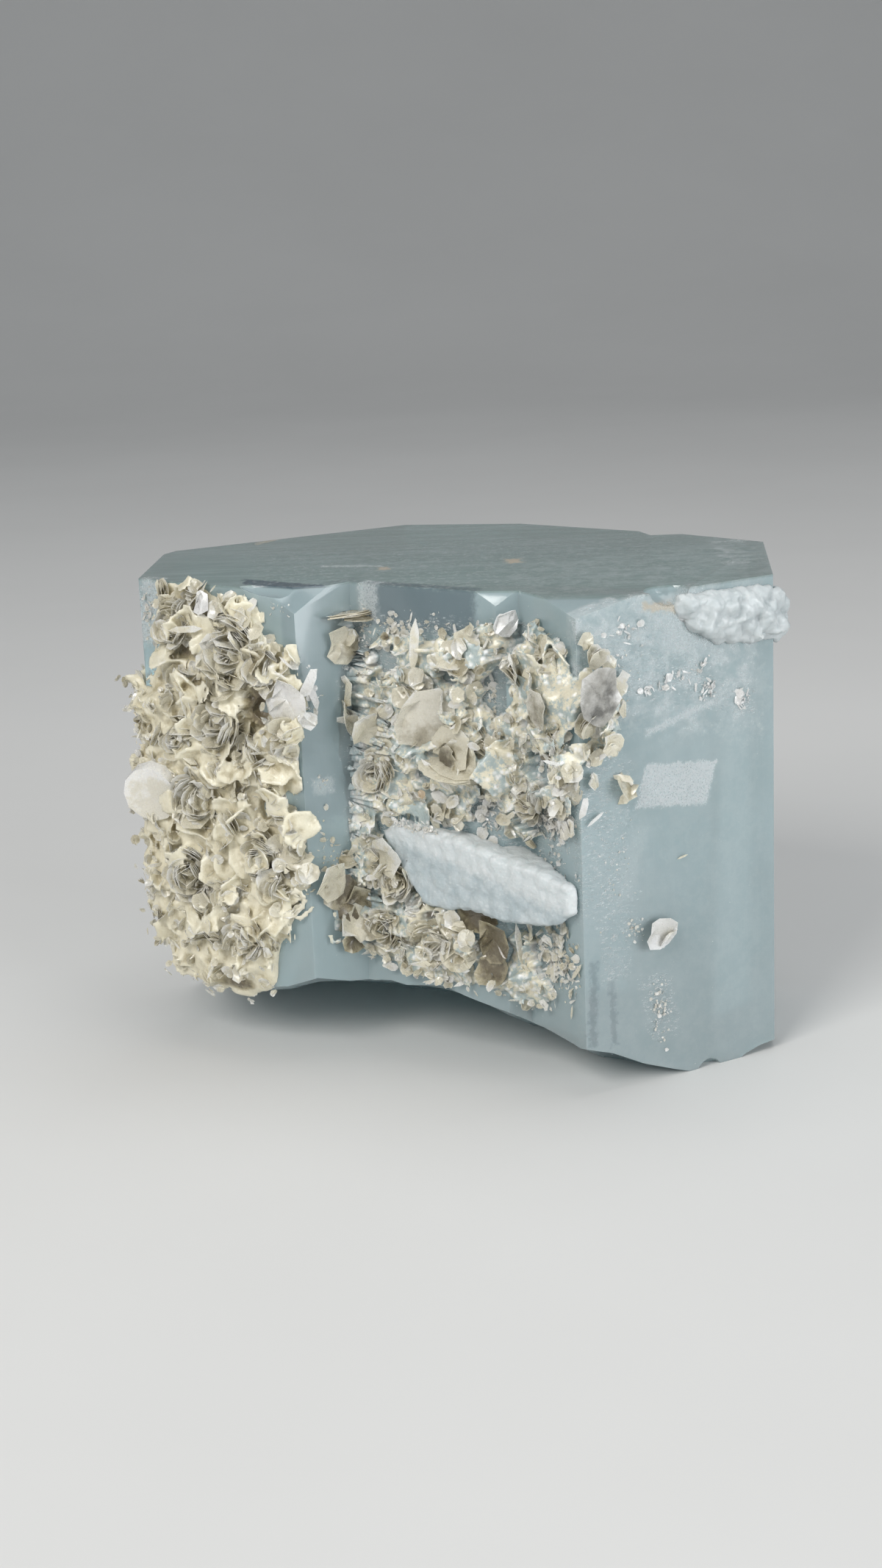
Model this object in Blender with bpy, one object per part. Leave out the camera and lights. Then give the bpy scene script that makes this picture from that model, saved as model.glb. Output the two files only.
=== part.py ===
"""Aquamarine crystal with muscovite plates, a pale crystal and a white crust grown on it.

The crystal is a stepped six-sided beryl prism that stands on its broken base.
Lengths are in millimetres and become metres where a mesh is made. X runs to the right,
Y to the back and Z up. The origin is the middle of the specimen's base.

Places on the faces are written as (s, z): s is the distance along the prism's front outline,
from the front left edge towards the right, and z is the height above the base.
"""
import math
import random

import bmesh
import bpy
from mathutils import Matrix, Vector
from mathutils.geometry import delaunay_2d_cdt

MM = 0.001

# Prism: its height, and its corners in plan, anticlockwise as seen from above.
HEIGHT = 44.0
BACK_LEFT = (-26.2, 12.0)
LEFT_EDGE = (-27.3, -0.3)
STEP_EDGE = (-12.8, -9.7)
STEP_INNER = (-8.0, -6.1)
STEP_OUTER = (-6.0, -7.8)
MIDDLE_EDGE = (4.7, -13.9)
MIDDLE_INNER = (6.7, -13.5)
FRONT_EDGE = (11.1, -20.8)
RIGHT_EDGE = (28.9, -10.9)
BACK_RIGHT = (30.3, 5.2)
BACK_CORNERS = ((23.4, 11.2), (20.4, 11.3), (19.5, 13.8), (8.4, 21.1), (-3.1, 23.3), (-25.2, 13.6))
FRONT_CORNERS = (LEFT_EDGE, STEP_EDGE, STEP_INNER, STEP_OUTER, MIDDLE_EDGE, MIDDLE_INNER,
                 FRONT_EDGE, RIGHT_EDGE)
FRONT_PATH = (BACK_LEFT,) + FRONT_CORNERS + (BACK_RIGHT,)
OUTLINE = FRONT_PATH + BACK_CORNERS

# What grew on the crystal stands this far off its faces, as touching meshes do.
GAP = 0.3

# Facets that cut a top corner: the corner, how far they run along the faces before and after
# it, and how far down its edge they reach.
CORNER_FACETS = (
    (STEP_EDGE, 3.4, 3.8, 2.0),
    (MIDDLE_EDGE, 2.0, 1.9, 1.2),
    (FRONT_EDGE, 5.0, 5.9, 1.2),
)
FACET_CUTTER_DEPTH = 5.0

# Chips in the top edge and in the base's edge, as ellipsoids: plan place, height of the centre,
# three radii and the turn about Z in degrees.
TOP_CHIPS = (
    ((-14.2, -8.4), 44.5, (4.6, 1.5, 1.3), -33.0),
    ((19.2, -15.8), 44.4, (2.3, 1.9, 1.9), 29.0),
)
BASE_CHIPS = (
    ((28.8, -10.6), -0.7, (4.4, 3.4, 1.6), 29.0),
    ((22.6, -14.6), -0.9, (1.6, 1.4, 1.7), 29.0),
)

# Broken base: (x, y, z) along the front outline, where the break starts. From there it falls
# to the back at BREAK_SLOPE, in shell-like ripples round BREAK_CENTRE, until it meets the base.
BREAK_EDGE = (
    (-30.0, 0.0, 10.5), (-27.3, -0.3, 9.2), (-24.0, -2.4, 6.6), (-17.0, -7.0, 6.0),
    (-12.8, -9.7, 8.1), (-8.0, -6.1, 6.6), (-2.0, -10.1, 7.2), (1.4, -12.0, 6.9), (3.2, -13.0, 5.6),
    (6.2, -13.6, 4.9), (9.6, -18.3, 4.9), (11.1, -20.8, 4.5), (15.6, -18.3, 2.5),
    (18.5, -16.7, 0.8), (20.0, -15.8, 0.3), (22.0, -14.7, -0.6),
)
BREAK_SLOPE = 0.36
BREAK_CENTRE = (-15.0, -14.0)
BREAK_RIPPLE = 0.22
BREAK_WAVELENGTH = 4.6
BREAK_CELL = 2.9
BREAK_DEPTH = 4.0
BREAK_MARGIN = 0.5

# Muscovite: outline of each crust as (s, z), and the gaps in it that stay open, as (s, z, radius).
LEFT_CRUST = ((2.6, 43.6), (6.0, 44.0), (9.4, 43.6), (12.2, 42.0), (13.6, 40.2), (16.4, 39.4),
              (17.6, 36.8), (18.0, 32.0), (17.0, 27.0), (18.0, 22.0), (18.0, 17.5), (15.8, 13.8),
              (13.8, 10.5), (13.4, 6.4), (10.6, 4.8), (5.0, 5.0), (1.8, 7.0), (-1.6, 11.0),
              (-3.0, 17.0), (-4.4, 23.0), (-3.8, 29.0), (-3.0, 35.0), (0.6, 38.6))
LEFT_GAPS = ((4.4, 38.0, 0.9), (13.6, 33.4, 1.0), (13.4, 24.4, 0.9))
CENTRE_CRUST = ((21.4, 36.4), (25.0, 40.2), (29.4, 40.6), (34.0, 40.0), (38.0, 41.6), (43.0, 41.4),
                (48.0, 41.4), (50.6, 38.4), (52.2, 35.4), (51.6, 30.8), (48.8, 28.0), (47.4, 23.4),
                (42.0, 22.0), (33.0, 23.0), (28.2, 23.4), (26.4, 21.6), (27.4, 17.0), (31.0, 14.8),
                (39.0, 14.2), (43.8, 12.0), (45.2, 7.6), (42.0, 6.2), (36.0, 7.2), (29.0, 7.8),
                (23.6, 9.0), (19.0, 12.2), (18.8, 16.4), (21.6, 18.8), (21.4, 24.0), (21.6, 30.0))
CENTRE_GAPS = ((21.8, 15.0, 1.1), (22.6, 11.4, 0.8), (36.6, 10.8, 1.3), (26.4, 33.6, 0.8))
CRUST_CELL = 2.7
CRUST_RIM = 0.55
CRUST_HEIGHTS = (0.9, 1.9)
CRUST_ROOT = 2.5
PLATE_SPACING = 2.75
PLATE_RADII = (1.3, 2.2)
PLATE_ROOM = 0.8
PLATE_THICKNESS = 0.5
PLATE_STAND_OFF = (0.8, 1.5)
PLATE_SIDES = 6

# Single muscovite plates on the faces: place (s, z), radius, thickness, stand-off, tilt of the
# plate's axis up from the face's normal and its turn to the side, both in degrees.
FLAT_BOOK = ((22.0, 40.9), 2.6, 0.7, 0.9, 80.0, 4.0)
BOOK_BACKING = ((22.4, 38.7), 1.9, 0.6, 0.75, 4.0, 0.0)
SILVER_PLATE = ((16.2, 34.4), 2.4, 0.5, 1.0, 8.0, 25.0)
ROUND_PLATE = ((-0.6, 24.8), 2.5, 1.5, 1.5, 0.0, -10.0)
UPPER_FLAKE = (((53.2, 27.6), 1.3, 0.5, 0.75, 34.0, 25.0), ((53.0, 28.3), 0.9, 0.5, 0.9, 60.0, -50.0))
LOWER_FLAKE = (((56.2, 14.0), 1.6, 0.5, 0.75, -22.0, 10.0), ((57.0, 13.3), 1.0, 0.5, 0.85, -50.0, 40.0))

# Pale crystal: its outline along the chord from PALE_FROM to PALE_TO, its bevel and how far its
# front stands off the chord.
PALE_FROM = 26.4
PALE_TO = 47.6
PALE_OUTLINE = ((0.2, 21.7), (2.0, 22.8), (8.4, 22.3), (12.6, 21.3), (16.8, 20.5), (20.4, 19.4),
                (20.5, 17.2), (18.2, 15.6), (13.0, 15.2), (9.4, 15.7), (6.4, 15.3), (4.4, 15.6),
                (3.2, 17.0), (2.0, 18.8))
PALE_BEVEL = 0.5
PALE_FRONT = 1.3
PALE_BACK = 5.0

# White crust: outline as (s, z), and the spacing and heights of its bumps.
WHITE_OUTLINE = ((59.0, 43.2), (64.4, 43.4), (69.0, 43.2), (71.6, 42.2), (71.6, 38.8), (69.6, 37.8),
                 (66.2, 38.4), (62.8, 38.8), (58.8, 41.4))
WHITE_CELL = 0.95
WHITE_RIM = 0.5
WHITE_HEIGHTS = (1.0, 1.9)

# Colour, roughness and transmission of each mineral.
FINISHES = {
    "aquamarine": ((0.46, 0.60, 0.65), 0.08, 0.9),
    "muscovite": ((0.62, 0.57, 0.43), 0.35, 0.0),
    "pale_mineral": ((0.70, 0.77, 0.80), 0.30, 0.0),
    "white_mineral": ((0.78, 0.80, 0.80), 0.50, 0.0),
}


def clear_scene():
    for obj in list(bpy.data.objects):
        bpy.data.objects.remove(obj, do_unlink=True)


def place_on_front(s, z, out=0.0):
    """Point on the front faces moved out by `out`, with the face's tangent and normal."""
    start = -math.dist(BACK_LEFT, LEFT_EDGE)
    for a, b in zip(FRONT_PATH, FRONT_PATH[1:]):
        length = math.dist(a, b)
        if s <= start + length:
            break
        start += length
    tangent = Vector((b[0] - a[0], b[1] - a[1], 0.0)).normalized()
    normal = Vector((tangent.y, -tangent.x, 0.0))
    point = Vector((a[0], a[1], z)) + tangent * (s - start) + normal * out
    return point, tangent, normal


def object_from(bm, name):
    """Scene object from a bmesh in millimetres, with its faces turned outwards."""
    bmesh.ops.recalc_face_normals(bm, faces=bm.faces)
    bmesh.ops.scale(bm, vec=(MM, MM, MM), verts=bm.verts)
    mesh = bpy.data.meshes.new(name)
    bm.to_mesh(mesh)
    bm.free()
    obj = bpy.data.objects.new(name, mesh)
    bpy.context.scene.collection.objects.link(obj)
    return obj


def upright_prism(name, outline, bottom, top):
    """Closed prism over a plan outline."""
    bm = bmesh.new()
    base = bm.faces.new([bm.verts.new((x, y, bottom)) for x, y in outline])
    sides = bmesh.ops.extrude_face_region(bm, geom=[base])
    raised = [v for v in sides["geom"] if isinstance(v, bmesh.types.BMVert)]
    bmesh.ops.translate(bm, vec=(0.0, 0.0, top - bottom), verts=raised)
    return object_from(bm, name)


def ellipsoid(name, centre, radii, turn):
    """Faceted ellipsoid; `turn` points its own axes."""
    bm = bmesh.new()
    bmesh.ops.create_icosphere(bm, subdivisions=2, radius=1.0)
    shape = Matrix.Translation(centre) @ turn.to_4x4() @ Matrix.Diagonal((*radii, 1.0))
    bmesh.ops.transform(bm, matrix=shape, verts=bm.verts)
    return object_from(bm, name)


def mineral_plate(name, centre, axis, side, radius, thickness):
    """Six-sided plate whose flat faces look along `axis`."""
    bm = bmesh.new()
    bmesh.ops.create_cone(bm, cap_ends=True, segments=PLATE_SIDES, radius1=radius, radius2=radius,
                          depth=thickness)
    axis = axis.normalized()
    side = (side - axis * side.dot(axis)).normalized()
    turn = Matrix((side, axis.cross(side), axis)).transposed()
    bmesh.ops.transform(bm, matrix=Matrix.Translation(centre) @ turn.to_4x4(), verts=bm.verts)
    return object_from(bm, name)


def combine(target, tools, operation):
    """Apply a Boolean of `tools` to `target` and remove the tools."""
    group = bpy.data.collections.new("tools")
    for tool in tools:
        group.objects.link(tool)
    step = target.modifiers.new("boolean", "BOOLEAN")
    step.operation = operation
    step.solver = "EXACT"
    step.operand_type = "COLLECTION"
    step.collection = group
    bpy.context.view_layer.update()
    shaped = target.evaluated_get(bpy.context.evaluated_depsgraph_get())
    mesh = bpy.data.meshes.new_from_object(shaped)
    target.modifiers.clear()
    target.data = mesh
    for tool in tools:
        bpy.data.objects.remove(tool, do_unlink=True)
    bpy.data.collections.remove(group)


def keep_largest_piece(obj):
    """Remove crumbs that a cut has left beside the main body."""
    bm = bmesh.new()
    bm.from_mesh(obj.data)
    unseen = set(bm.verts)
    pieces = []
    while unseen:
        front = [unseen.pop()]
        piece = list(front)
        while front:
            vert = front.pop()
            for edge in vert.link_edges:
                other = edge.other_vert(vert)
                if other in unseen:
                    unseen.remove(other)
                    front.append(other)
                    piece.append(other)
        pieces.append(piece)
    pieces.sort(key=len)
    for piece in pieces[:-1]:
        bmesh.ops.delete(bm, geom=piece, context="VERTS")
    bm.to_mesh(obj.data)
    bm.free()


def grown_outline(distance):
    """The prism's outline moved out by `distance`, with its corners mitred."""
    grown = []
    count = len(OUTLINE)
    for i, corner in enumerate(OUTLINE):
        before = Vector(corner) - Vector(OUTLINE[i - 1])
        after = Vector(OUTLINE[(i + 1) % count]) - Vector(corner)
        first = Vector((before.y, -before.x)).normalized()
        second = Vector((after.y, -after.x)).normalized()
        miter = (first + second) * (distance / (1.0 + first.dot(second)))
        grown.append(Vector(corner) + miter)
    return [tuple(point) for point in grown]


def facet_cutter(corner, before, after, depth):
    """Wedge that cuts a sloping facet across a top corner."""
    i = OUTLINE.index(corner)
    here = Vector((*corner, 0.0))
    back = (Vector((*OUTLINE[i - 1], 0.0)) - here).normalized()
    ahead = (Vector((*OUTLINE[i + 1], 0.0)) - here).normalized()
    left = here + back * before + Vector((0.0, 0.0, HEIGHT))
    right = here + ahead * after + Vector((0.0, 0.0, HEIGHT))
    foot = here + Vector((0.0, 0.0, HEIGHT - depth))
    along = (right - left).normalized()
    normal = (right - left).cross(foot - left).normalized()
    if normal.z < 0.0:
        normal.negate()
    up = normal.cross(along)
    half_width = 0.5 * (right - left).length + 0.4
    half_rise = depth + 1.0
    centre = (left + right) * 0.5 + normal * FACET_CUTTER_DEPTH * 0.5
    bm = bmesh.new()
    bmesh.ops.create_cube(bm, size=1.0)
    size = Matrix.Diagonal((2.0 * half_width, 4.0 * half_rise, FACET_CUTTER_DEPTH, 1.0))
    turn = Matrix((along, up, normal)).transposed().to_4x4()
    bmesh.ops.transform(bm, matrix=Matrix.Translation(centre) @ turn @ size, verts=bm.verts)
    return object_from(bm, "facet_cutter")


def chip_cutters(chips):
    """Ellipsoids that scoop out the chips."""
    cutters = []
    for (x, y), z, radii, turn in chips:
        spin = Matrix.Rotation(math.radians(turn), 3, "Z")
        cutters.append(ellipsoid("chip_cutter", Vector((x, y, z)), radii, spin))
    return cutters


def break_height(x, y):
    """Height of the broken base over a plan place, below 0 where the flat base is left."""
    for (x0, y0, z0), (x1, y1, z1) in zip(BREAK_EDGE, BREAK_EDGE[1:]):
        if x <= x1:
            break
    t = (min(x, x1) - x0) / (x1 - x0)
    fall = BREAK_SLOPE * (y - (y0 + t * (y1 - y0)))
    ripple = BREAK_RIPPLE * math.sin(2.0 * math.pi * math.dist((x, y), BREAK_CENTRE) / BREAK_WAVELENGTH)
    height = z0 + t * (z1 - z0) - fall + ripple
    return height if height > BREAK_MARGIN else -BREAK_MARGIN


def break_cutter():
    """Block whose top is the broken surface."""
    columns = math.ceil((BREAK_EDGE[-1][0] - BREAK_EDGE[0][0]) / BREAK_CELL) + 1
    rows = math.ceil((BACK_CORNERS[4][1] - FRONT_EDGE[1]) / BREAK_CELL) + 3
    bm = bmesh.new()
    top = []
    for i in range(columns):
        x = BREAK_EDGE[0][0] + i * BREAK_CELL
        shift = 0.5 * (i % 2)
        y_values = [FRONT_EDGE[1] + (j - 1 + shift) * BREAK_CELL for j in range(rows)]
        top.append([bm.verts.new((x, y, break_height(x, y))) for y in y_values])
    for near, far in zip(top, top[1:]):
        for j in range(rows - 1):
            bm.faces.new((near[j], far[j], far[j + 1]))
            bm.faces.new((near[j], far[j + 1], near[j + 1]))
    rim = ([column[0] for column in top] + top[-1][1:] + [column[-1] for column in top[-2::-1]]
           + top[0][-2:0:-1])
    foot = [bm.verts.new((v.co.x, v.co.y, -BREAK_DEPTH)) for v in rim]
    for i in range(len(rim)):
        j = (i + 1) % len(rim)
        bm.faces.new((rim[i], foot[i], foot[j], rim[j]))
    bm.faces.new(foot)
    return object_from(bm, "break_cutter")


def make_aquamarine():
    """Prism with its corner facets, chipped top edge and broken base."""
    crystal = upright_prism("aquamarine_crystal", OUTLINE, 0.0, HEIGHT)
    facets = [facet_cutter(*facet) for facet in CORNER_FACETS]
    combine(crystal, facets, "DIFFERENCE")
    combine(crystal, chip_cutters(TOP_CHIPS + BASE_CHIPS) + [break_cutter()], "DIFFERENCE")
    keep_largest_piece(crystal)
    return crystal


def is_inside(point, outline):
    """Even-odd test of a place in an outline."""
    s, z = point
    inside = False
    for (s0, z0), (s1, z1) in zip(outline, outline[1:] + outline[:1]):
        if (z0 > z) != (z1 > z) and s < s0 + (z - z0) * (s1 - s0) / (z1 - z0):
            inside = not inside
    return inside


def room_inside(point, outline):
    """Distance from a place to the nearest edge of an outline."""
    place = Vector(point)
    nearest = math.inf
    for a, b in zip(outline, outline[1:] + outline[:1]):
        start = Vector(a)
        run = Vector(b) - start
        t = min(1.0, max(0.0, (place - start).dot(run) / run.length_squared))
        nearest = min(nearest, (place - start - run * t).length)
    return nearest


def scatter(outline, gaps, spacing, rng):
    """Places spread evenly over an outline, each moved a little, and none in a gap."""
    lowest_s = min(s for s, z in outline)
    highest_s = max(s for s, z in outline)
    lowest_z = min(z for s, z in outline)
    highest_z = max(z for s, z in outline)
    places = []
    row = 0
    z = lowest_z + spacing * 0.25
    while z < highest_z:
        s = lowest_s + spacing * (0.5 if row % 2 else 0.1)
        while s < highest_s:
            place = (s + rng.uniform(-0.25, 0.25) * spacing, z + rng.uniform(-0.25, 0.25) * spacing)
            open_here = any(math.dist(place, (gs, gz)) < radius for gs, gz, radius in gaps)
            if is_inside(place, outline) and not open_here:
                places.append(place)
            s += spacing
        z += spacing * 0.87
        row += 1
    return places


def single_plate(place, radius, thickness, out, tilt, swing):
    """Plate at a place on a face, leaned up by `tilt` and sideways by `swing`."""
    centre, tangent, normal = place_on_front(*place, out)
    axis = Matrix.Rotation(math.radians(tilt), 3, tangent) @ normal
    axis = Matrix.Rotation(math.radians(swing), 3, Vector((0.0, 0.0, 1.0))) @ axis
    return mineral_plate("plate", centre, axis, tangent, radius, thickness)


def place_on_crust(s, z, out):
    """Point over the faces with their corners eased, so that a crust can run round them."""
    spread = [place_on_front(s + step, z) for step in (-1.6, -0.8, 0.0, 0.8, 1.6)]
    normal = sum((face_normal for point, tangent, face_normal in spread), Vector()).normalized()
    return sum((point for point, tangent, face_normal in spread), Vector()) / len(spread) + normal * out


def crust_sheet(name, outline, gaps, cell, rim, heights, rng):
    """Closed uneven sheet over an outline, rooted in the crystal, low at its rim and in gaps."""
    inner = [place for place in scatter(outline, (), cell, rng) if room_inside(place, outline) > cell * 0.4]
    places = [Vector(place) for place in outline + tuple(inner)]
    rim_edges = [(i, (i + 1) % len(outline)) for i in range(len(outline))]
    places, edges, faces, *rest = delaunay_2d_cdt(places, rim_edges, [], 1, 0.001)
    bm = bmesh.new()
    front = []
    root = []
    for i, place in enumerate(places):
        in_gap = any(math.dist(place, (s, z)) < radius + cell * 0.5 for s, z, radius in gaps)
        height = rim if i < len(outline) or in_gap else rng.uniform(*heights)
        front.append(bm.verts.new(place_on_crust(*place, height)))
        root.append(bm.verts.new(place_on_crust(*place, -CRUST_ROOT)))
    for a, b, c in faces:
        bm.faces.new((front[a], front[b], front[c]))
        bm.faces.new((root[c], root[b], root[a]))
    for i, j in rim_edges:
        bm.faces.new((front[j], front[i], root[i], root[j]))
    return object_from(bm, name)


def crust_plates(places, outline, rng):
    """Plates that stand out of a crust, each leaned its own way."""
    plates = []
    for s, z in places:
        if room_inside((s, z), outline) < PLATE_ROOM:
            continue
        out = rng.uniform(*PLATE_STAND_OFF)
        centre, tangent, normal = place_on_front(s, z, out)
        lean = math.radians(rng.uniform(25.0, 80.0))
        swing = rng.uniform(0.0, 2.0 * math.pi)
        sideways = tangent * math.cos(swing) + Vector((0.0, 0.0, math.sin(swing)))
        axis = normal * math.cos(lean) + sideways * math.sin(lean)
        radius = rng.uniform(*PLATE_RADII)
        plates.append(mineral_plate("plate", centre, axis, tangent, radius, PLATE_THICKNESS))
    return plates


def clearance_cutter():
    """The prism grown by the gap, which trims what grew on it."""
    return upright_prism("clearance", grown_outline(GAP), -1.0, HEIGHT + GAP)


def floor_cutter():
    """Block under the base, so that nothing hangs below the crystal."""
    reach = 60.0
    outline = ((-reach, -reach), (reach, -reach), (reach, reach), (-reach, reach))
    return upright_prism("floor_cutter", outline, -20.0, 0.4)


def make_crust(name, outline, gaps, extra_plates, keep_clear, seed):
    """One solid of a sheet and its plates, trimmed clear of the crystal and of `keep_clear`."""
    rng = random.Random(seed)
    crust = crust_sheet(name, outline, gaps, CRUST_CELL, CRUST_RIM, CRUST_HEIGHTS, rng)
    plates = crust_plates(scatter(outline, gaps, PLATE_SPACING, rng), outline, rng)
    plates += [single_plate(*plate) for plate in extra_plates]
    combine(crust, plates, "UNION")
    combine(crust, [clearance_cutter(), floor_cutter()] + keep_clear, "DIFFERENCE")
    keep_largest_piece(crust)
    return crust


def make_flake(name, plates):
    """A small group of muscovite plates on a face."""
    solids = [single_plate(*plate) for plate in plates]
    flake = solids.pop()
    flake.name = name
    combine(flake, solids, "UNION")
    combine(flake, [clearance_cutter()], "DIFFERENCE")
    keep_largest_piece(flake)
    return flake


def pale_block(name, grow, bevel):
    """The pale crystal's block, before it is fitted to the faces behind it."""
    start = place_on_front(PALE_FROM, 0.0)[0]
    end = place_on_front(PALE_TO, 0.0)[0]
    along = (end - start).normalized()
    out = Vector((along.y, -along.x, 0.0))
    middle = Vector((sum(a for a, z in PALE_OUTLINE), sum(z for a, z in PALE_OUTLINE)))
    middle /= len(PALE_OUTLINE)
    bm = bmesh.new()
    rings = []
    for depth, inset in ((-PALE_BACK, 0.0), (PALE_FRONT + grow - bevel, 0.0), (PALE_FRONT + grow, bevel)):
        ring = []
        for place in PALE_OUTLINE:
            flat = Vector(place) - middle
            flat = flat * (1.0 + (grow * 1.6 - inset) / flat.length) + middle
            ring.append(bm.verts.new(start + along * flat.x + out * depth + Vector((0.0, 0.0, flat.y))))
        rings.append(ring)
    for lower, upper in zip(rings, rings[1:]):
        for i in range(len(lower)):
            j = (i + 1) % len(lower)
            bm.faces.new((lower[i], lower[j], upper[j], upper[i]))
    bm.faces.new(rings[0])
    bm.faces.new(rings[-1])
    return object_from(bm, name)


def make_pale_crystal():
    """Pale crystal that fills the step in the front faces."""
    crystal = pale_block("pale_crystal", 0.0, PALE_BEVEL)
    combine(crystal, [clearance_cutter()], "DIFFERENCE")
    keep_largest_piece(crystal)
    return crystal


def make_white_crust(seed):
    """White crust of rounded bumps on the upper right edge."""
    rng = random.Random(seed)
    crust = crust_sheet("white_crust", WHITE_OUTLINE, (), WHITE_CELL, WHITE_RIM, WHITE_HEIGHTS, rng)
    combine(crust, [clearance_cutter()], "DIFFERENCE")
    keep_largest_piece(crust)
    return crust


def dress(obj, finish):
    """Give an object its own material."""
    colour, roughness, transmission = FINISHES[finish]
    material = bpy.data.materials.new(obj.name)
    material.use_nodes = True
    shader = material.node_tree.nodes["Principled BSDF"]
    shader.inputs["Base Color"].default_value = (*colour, 1.0)
    shader.inputs["Roughness"].default_value = roughness
    shader.inputs["Metallic"].default_value = 0.0
    shader.inputs["Transmission Weight"].default_value = transmission
    obj.data.materials.clear()
    obj.data.materials.append(material)


def centre_on_base():
    """Move everything so that the origin is the middle of the whole base."""
    solids = list(bpy.data.objects)
    for axis in (0, 1):
        values = [vert.co[axis] for solid in solids for vert in solid.data.vertices]
        shift = -0.5 * (min(values) + max(values))
        for solid in solids:
            for vert in solid.data.vertices:
                vert.co[axis] += shift


def main():
    clear_scene()
    dress(make_aquamarine(), "aquamarine")
    left = make_crust("muscovite_left", LEFT_CRUST, LEFT_GAPS, (SILVER_PLATE, ROUND_PLATE), [], 11)
    dress(left, "muscovite")
    centre = make_crust("muscovite_centre", CENTRE_CRUST, CENTRE_GAPS, (FLAT_BOOK, BOOK_BACKING),
                        [pale_block("pale_clearance", GAP, 0.0)], 7)
    dress(centre, "muscovite")
    dress(make_flake("muscovite_flake_upper", UPPER_FLAKE), "muscovite")
    dress(make_flake("muscovite_flake_lower", LOWER_FLAKE), "muscovite")
    dress(make_pale_crystal(), "pale_mineral")
    dress(make_white_crust(3), "white_mineral")
    centre_on_base()


if __name__ == "__main__":
    main()
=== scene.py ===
"""Dresses the aquamarine specimen: beryl prism, muscovite leaves, a pale crystal and a white crust.

Lengths are written in millimetres and become metres where a mesh is made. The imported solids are
the fixed frame: each new piece is shaped on, or from a copy of, the solid that it stands for.
Places on the prism's front are written (s, z): s runs along its front outline from the front left
edge towards the right, z is the height above the base.
"""

import logging
import math
from collections.abc import Callable, Iterator
from dataclasses import dataclass
from enum import Enum
from functools import cache, cached_property
from typing import NamedTuple

import bpy
import numpy as np
from mathutils import Matrix, Vector
from mathutils.bvhtree import BVHTree


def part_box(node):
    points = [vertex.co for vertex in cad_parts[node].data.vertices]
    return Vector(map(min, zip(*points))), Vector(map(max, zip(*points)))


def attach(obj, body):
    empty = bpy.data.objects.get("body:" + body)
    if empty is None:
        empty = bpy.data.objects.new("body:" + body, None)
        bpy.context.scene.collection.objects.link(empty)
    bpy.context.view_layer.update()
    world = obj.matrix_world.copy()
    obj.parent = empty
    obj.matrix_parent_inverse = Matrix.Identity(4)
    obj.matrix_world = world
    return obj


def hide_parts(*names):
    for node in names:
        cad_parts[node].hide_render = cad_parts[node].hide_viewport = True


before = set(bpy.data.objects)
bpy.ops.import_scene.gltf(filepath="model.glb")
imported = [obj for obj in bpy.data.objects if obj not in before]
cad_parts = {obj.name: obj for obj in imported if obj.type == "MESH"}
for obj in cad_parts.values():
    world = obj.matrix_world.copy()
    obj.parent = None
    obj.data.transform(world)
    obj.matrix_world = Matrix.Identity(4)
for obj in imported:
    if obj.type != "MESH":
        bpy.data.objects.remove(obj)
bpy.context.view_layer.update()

LOG = logging.getLogger("specimen")
MM = 0.001
BODY = "root"
PRISM = "aquamarine_crystal"
UP = Vector((0.0, 0.0, 1.0))
MERGED_WITHIN = 0.002
FLAT_WITHIN = 0.5
LEAF_VALUES = ("tone", "warmth", "rim")

Colour = tuple[float, float, float]
Node = bpy.types.Node
Socket = bpy.types.NodeSocket
Tree = bpy.types.NodeTree
Obj = bpy.types.Object
Mesh = bpy.types.Mesh
Material = bpy.types.Material


class Habit(Enum):
    """How the muscovite leaves of a crust stand."""

    ROSETTE = "rosette"
    SCALES = "scales"


class MarkKind(Enum):
    """What a mark on the beryl's face is."""

    FROST = "frost"
    # Frosty grains and wisps, with bright dashes that are painted glints.
    GRAINS = "grains"
    HAZE = "haze"
    # Painted shade on facets, chips and gaps.
    SHADE = "shade"
    STAIN = "stain"


FROST, GRAINS, HAZE, SHADE, STAIN = MarkKind


# Modelling helpers


def configured(thing: object, **settings: object) -> object:
    """Set several properties of a thing, in order, and return it."""
    for name, value in settings.items():
        setattr(thing, name, value)
    return thing


def deselect_all() -> None:
    """Leave nothing selected, so that the next operator acts on its own object alone."""
    if bpy.context.object is not None and bpy.context.object.mode != "OBJECT":
        bpy.ops.object.mode_set(mode="OBJECT")
    bpy.ops.object.select_all(action="DESELECT")


def activate(*objects: Obj) -> None:
    """Select some objects alone and make the first one active."""
    deselect_all()
    for obj in objects:
        obj.select_set(True)
    bpy.context.view_layer.objects.active = objects[0]


def modify(piece: Obj, kind: str, **settings: object) -> None:
    """Add a modifier of a kind with its settings."""
    configured(piece.modifiers.new(kind, kind), **settings)


def apply_modifiers(piece: Obj) -> None:
    """Apply every modifier on a piece, in order."""
    activate(piece)
    for modifier in list(piece.modifiers):
        bpy.ops.object.modifier_apply(modifier=modifier.name)


def even_out(piece: Obj, cell: float, passes: int, strength: float = 0.6) -> None:
    """Add modifiers that give a piece an even mesh and round its corners.

    Args:
        piece: The piece.
        cell: Cell of the mesh, in mm.
        passes: How many times it is smoothed.
        strength: Strength of each time.
    """
    modify(piece, "REMESH", mode="VOXEL", voxel_size=cell * MM)
    modify(piece, "SMOOTH", factor=strength, iterations=passes)


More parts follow.
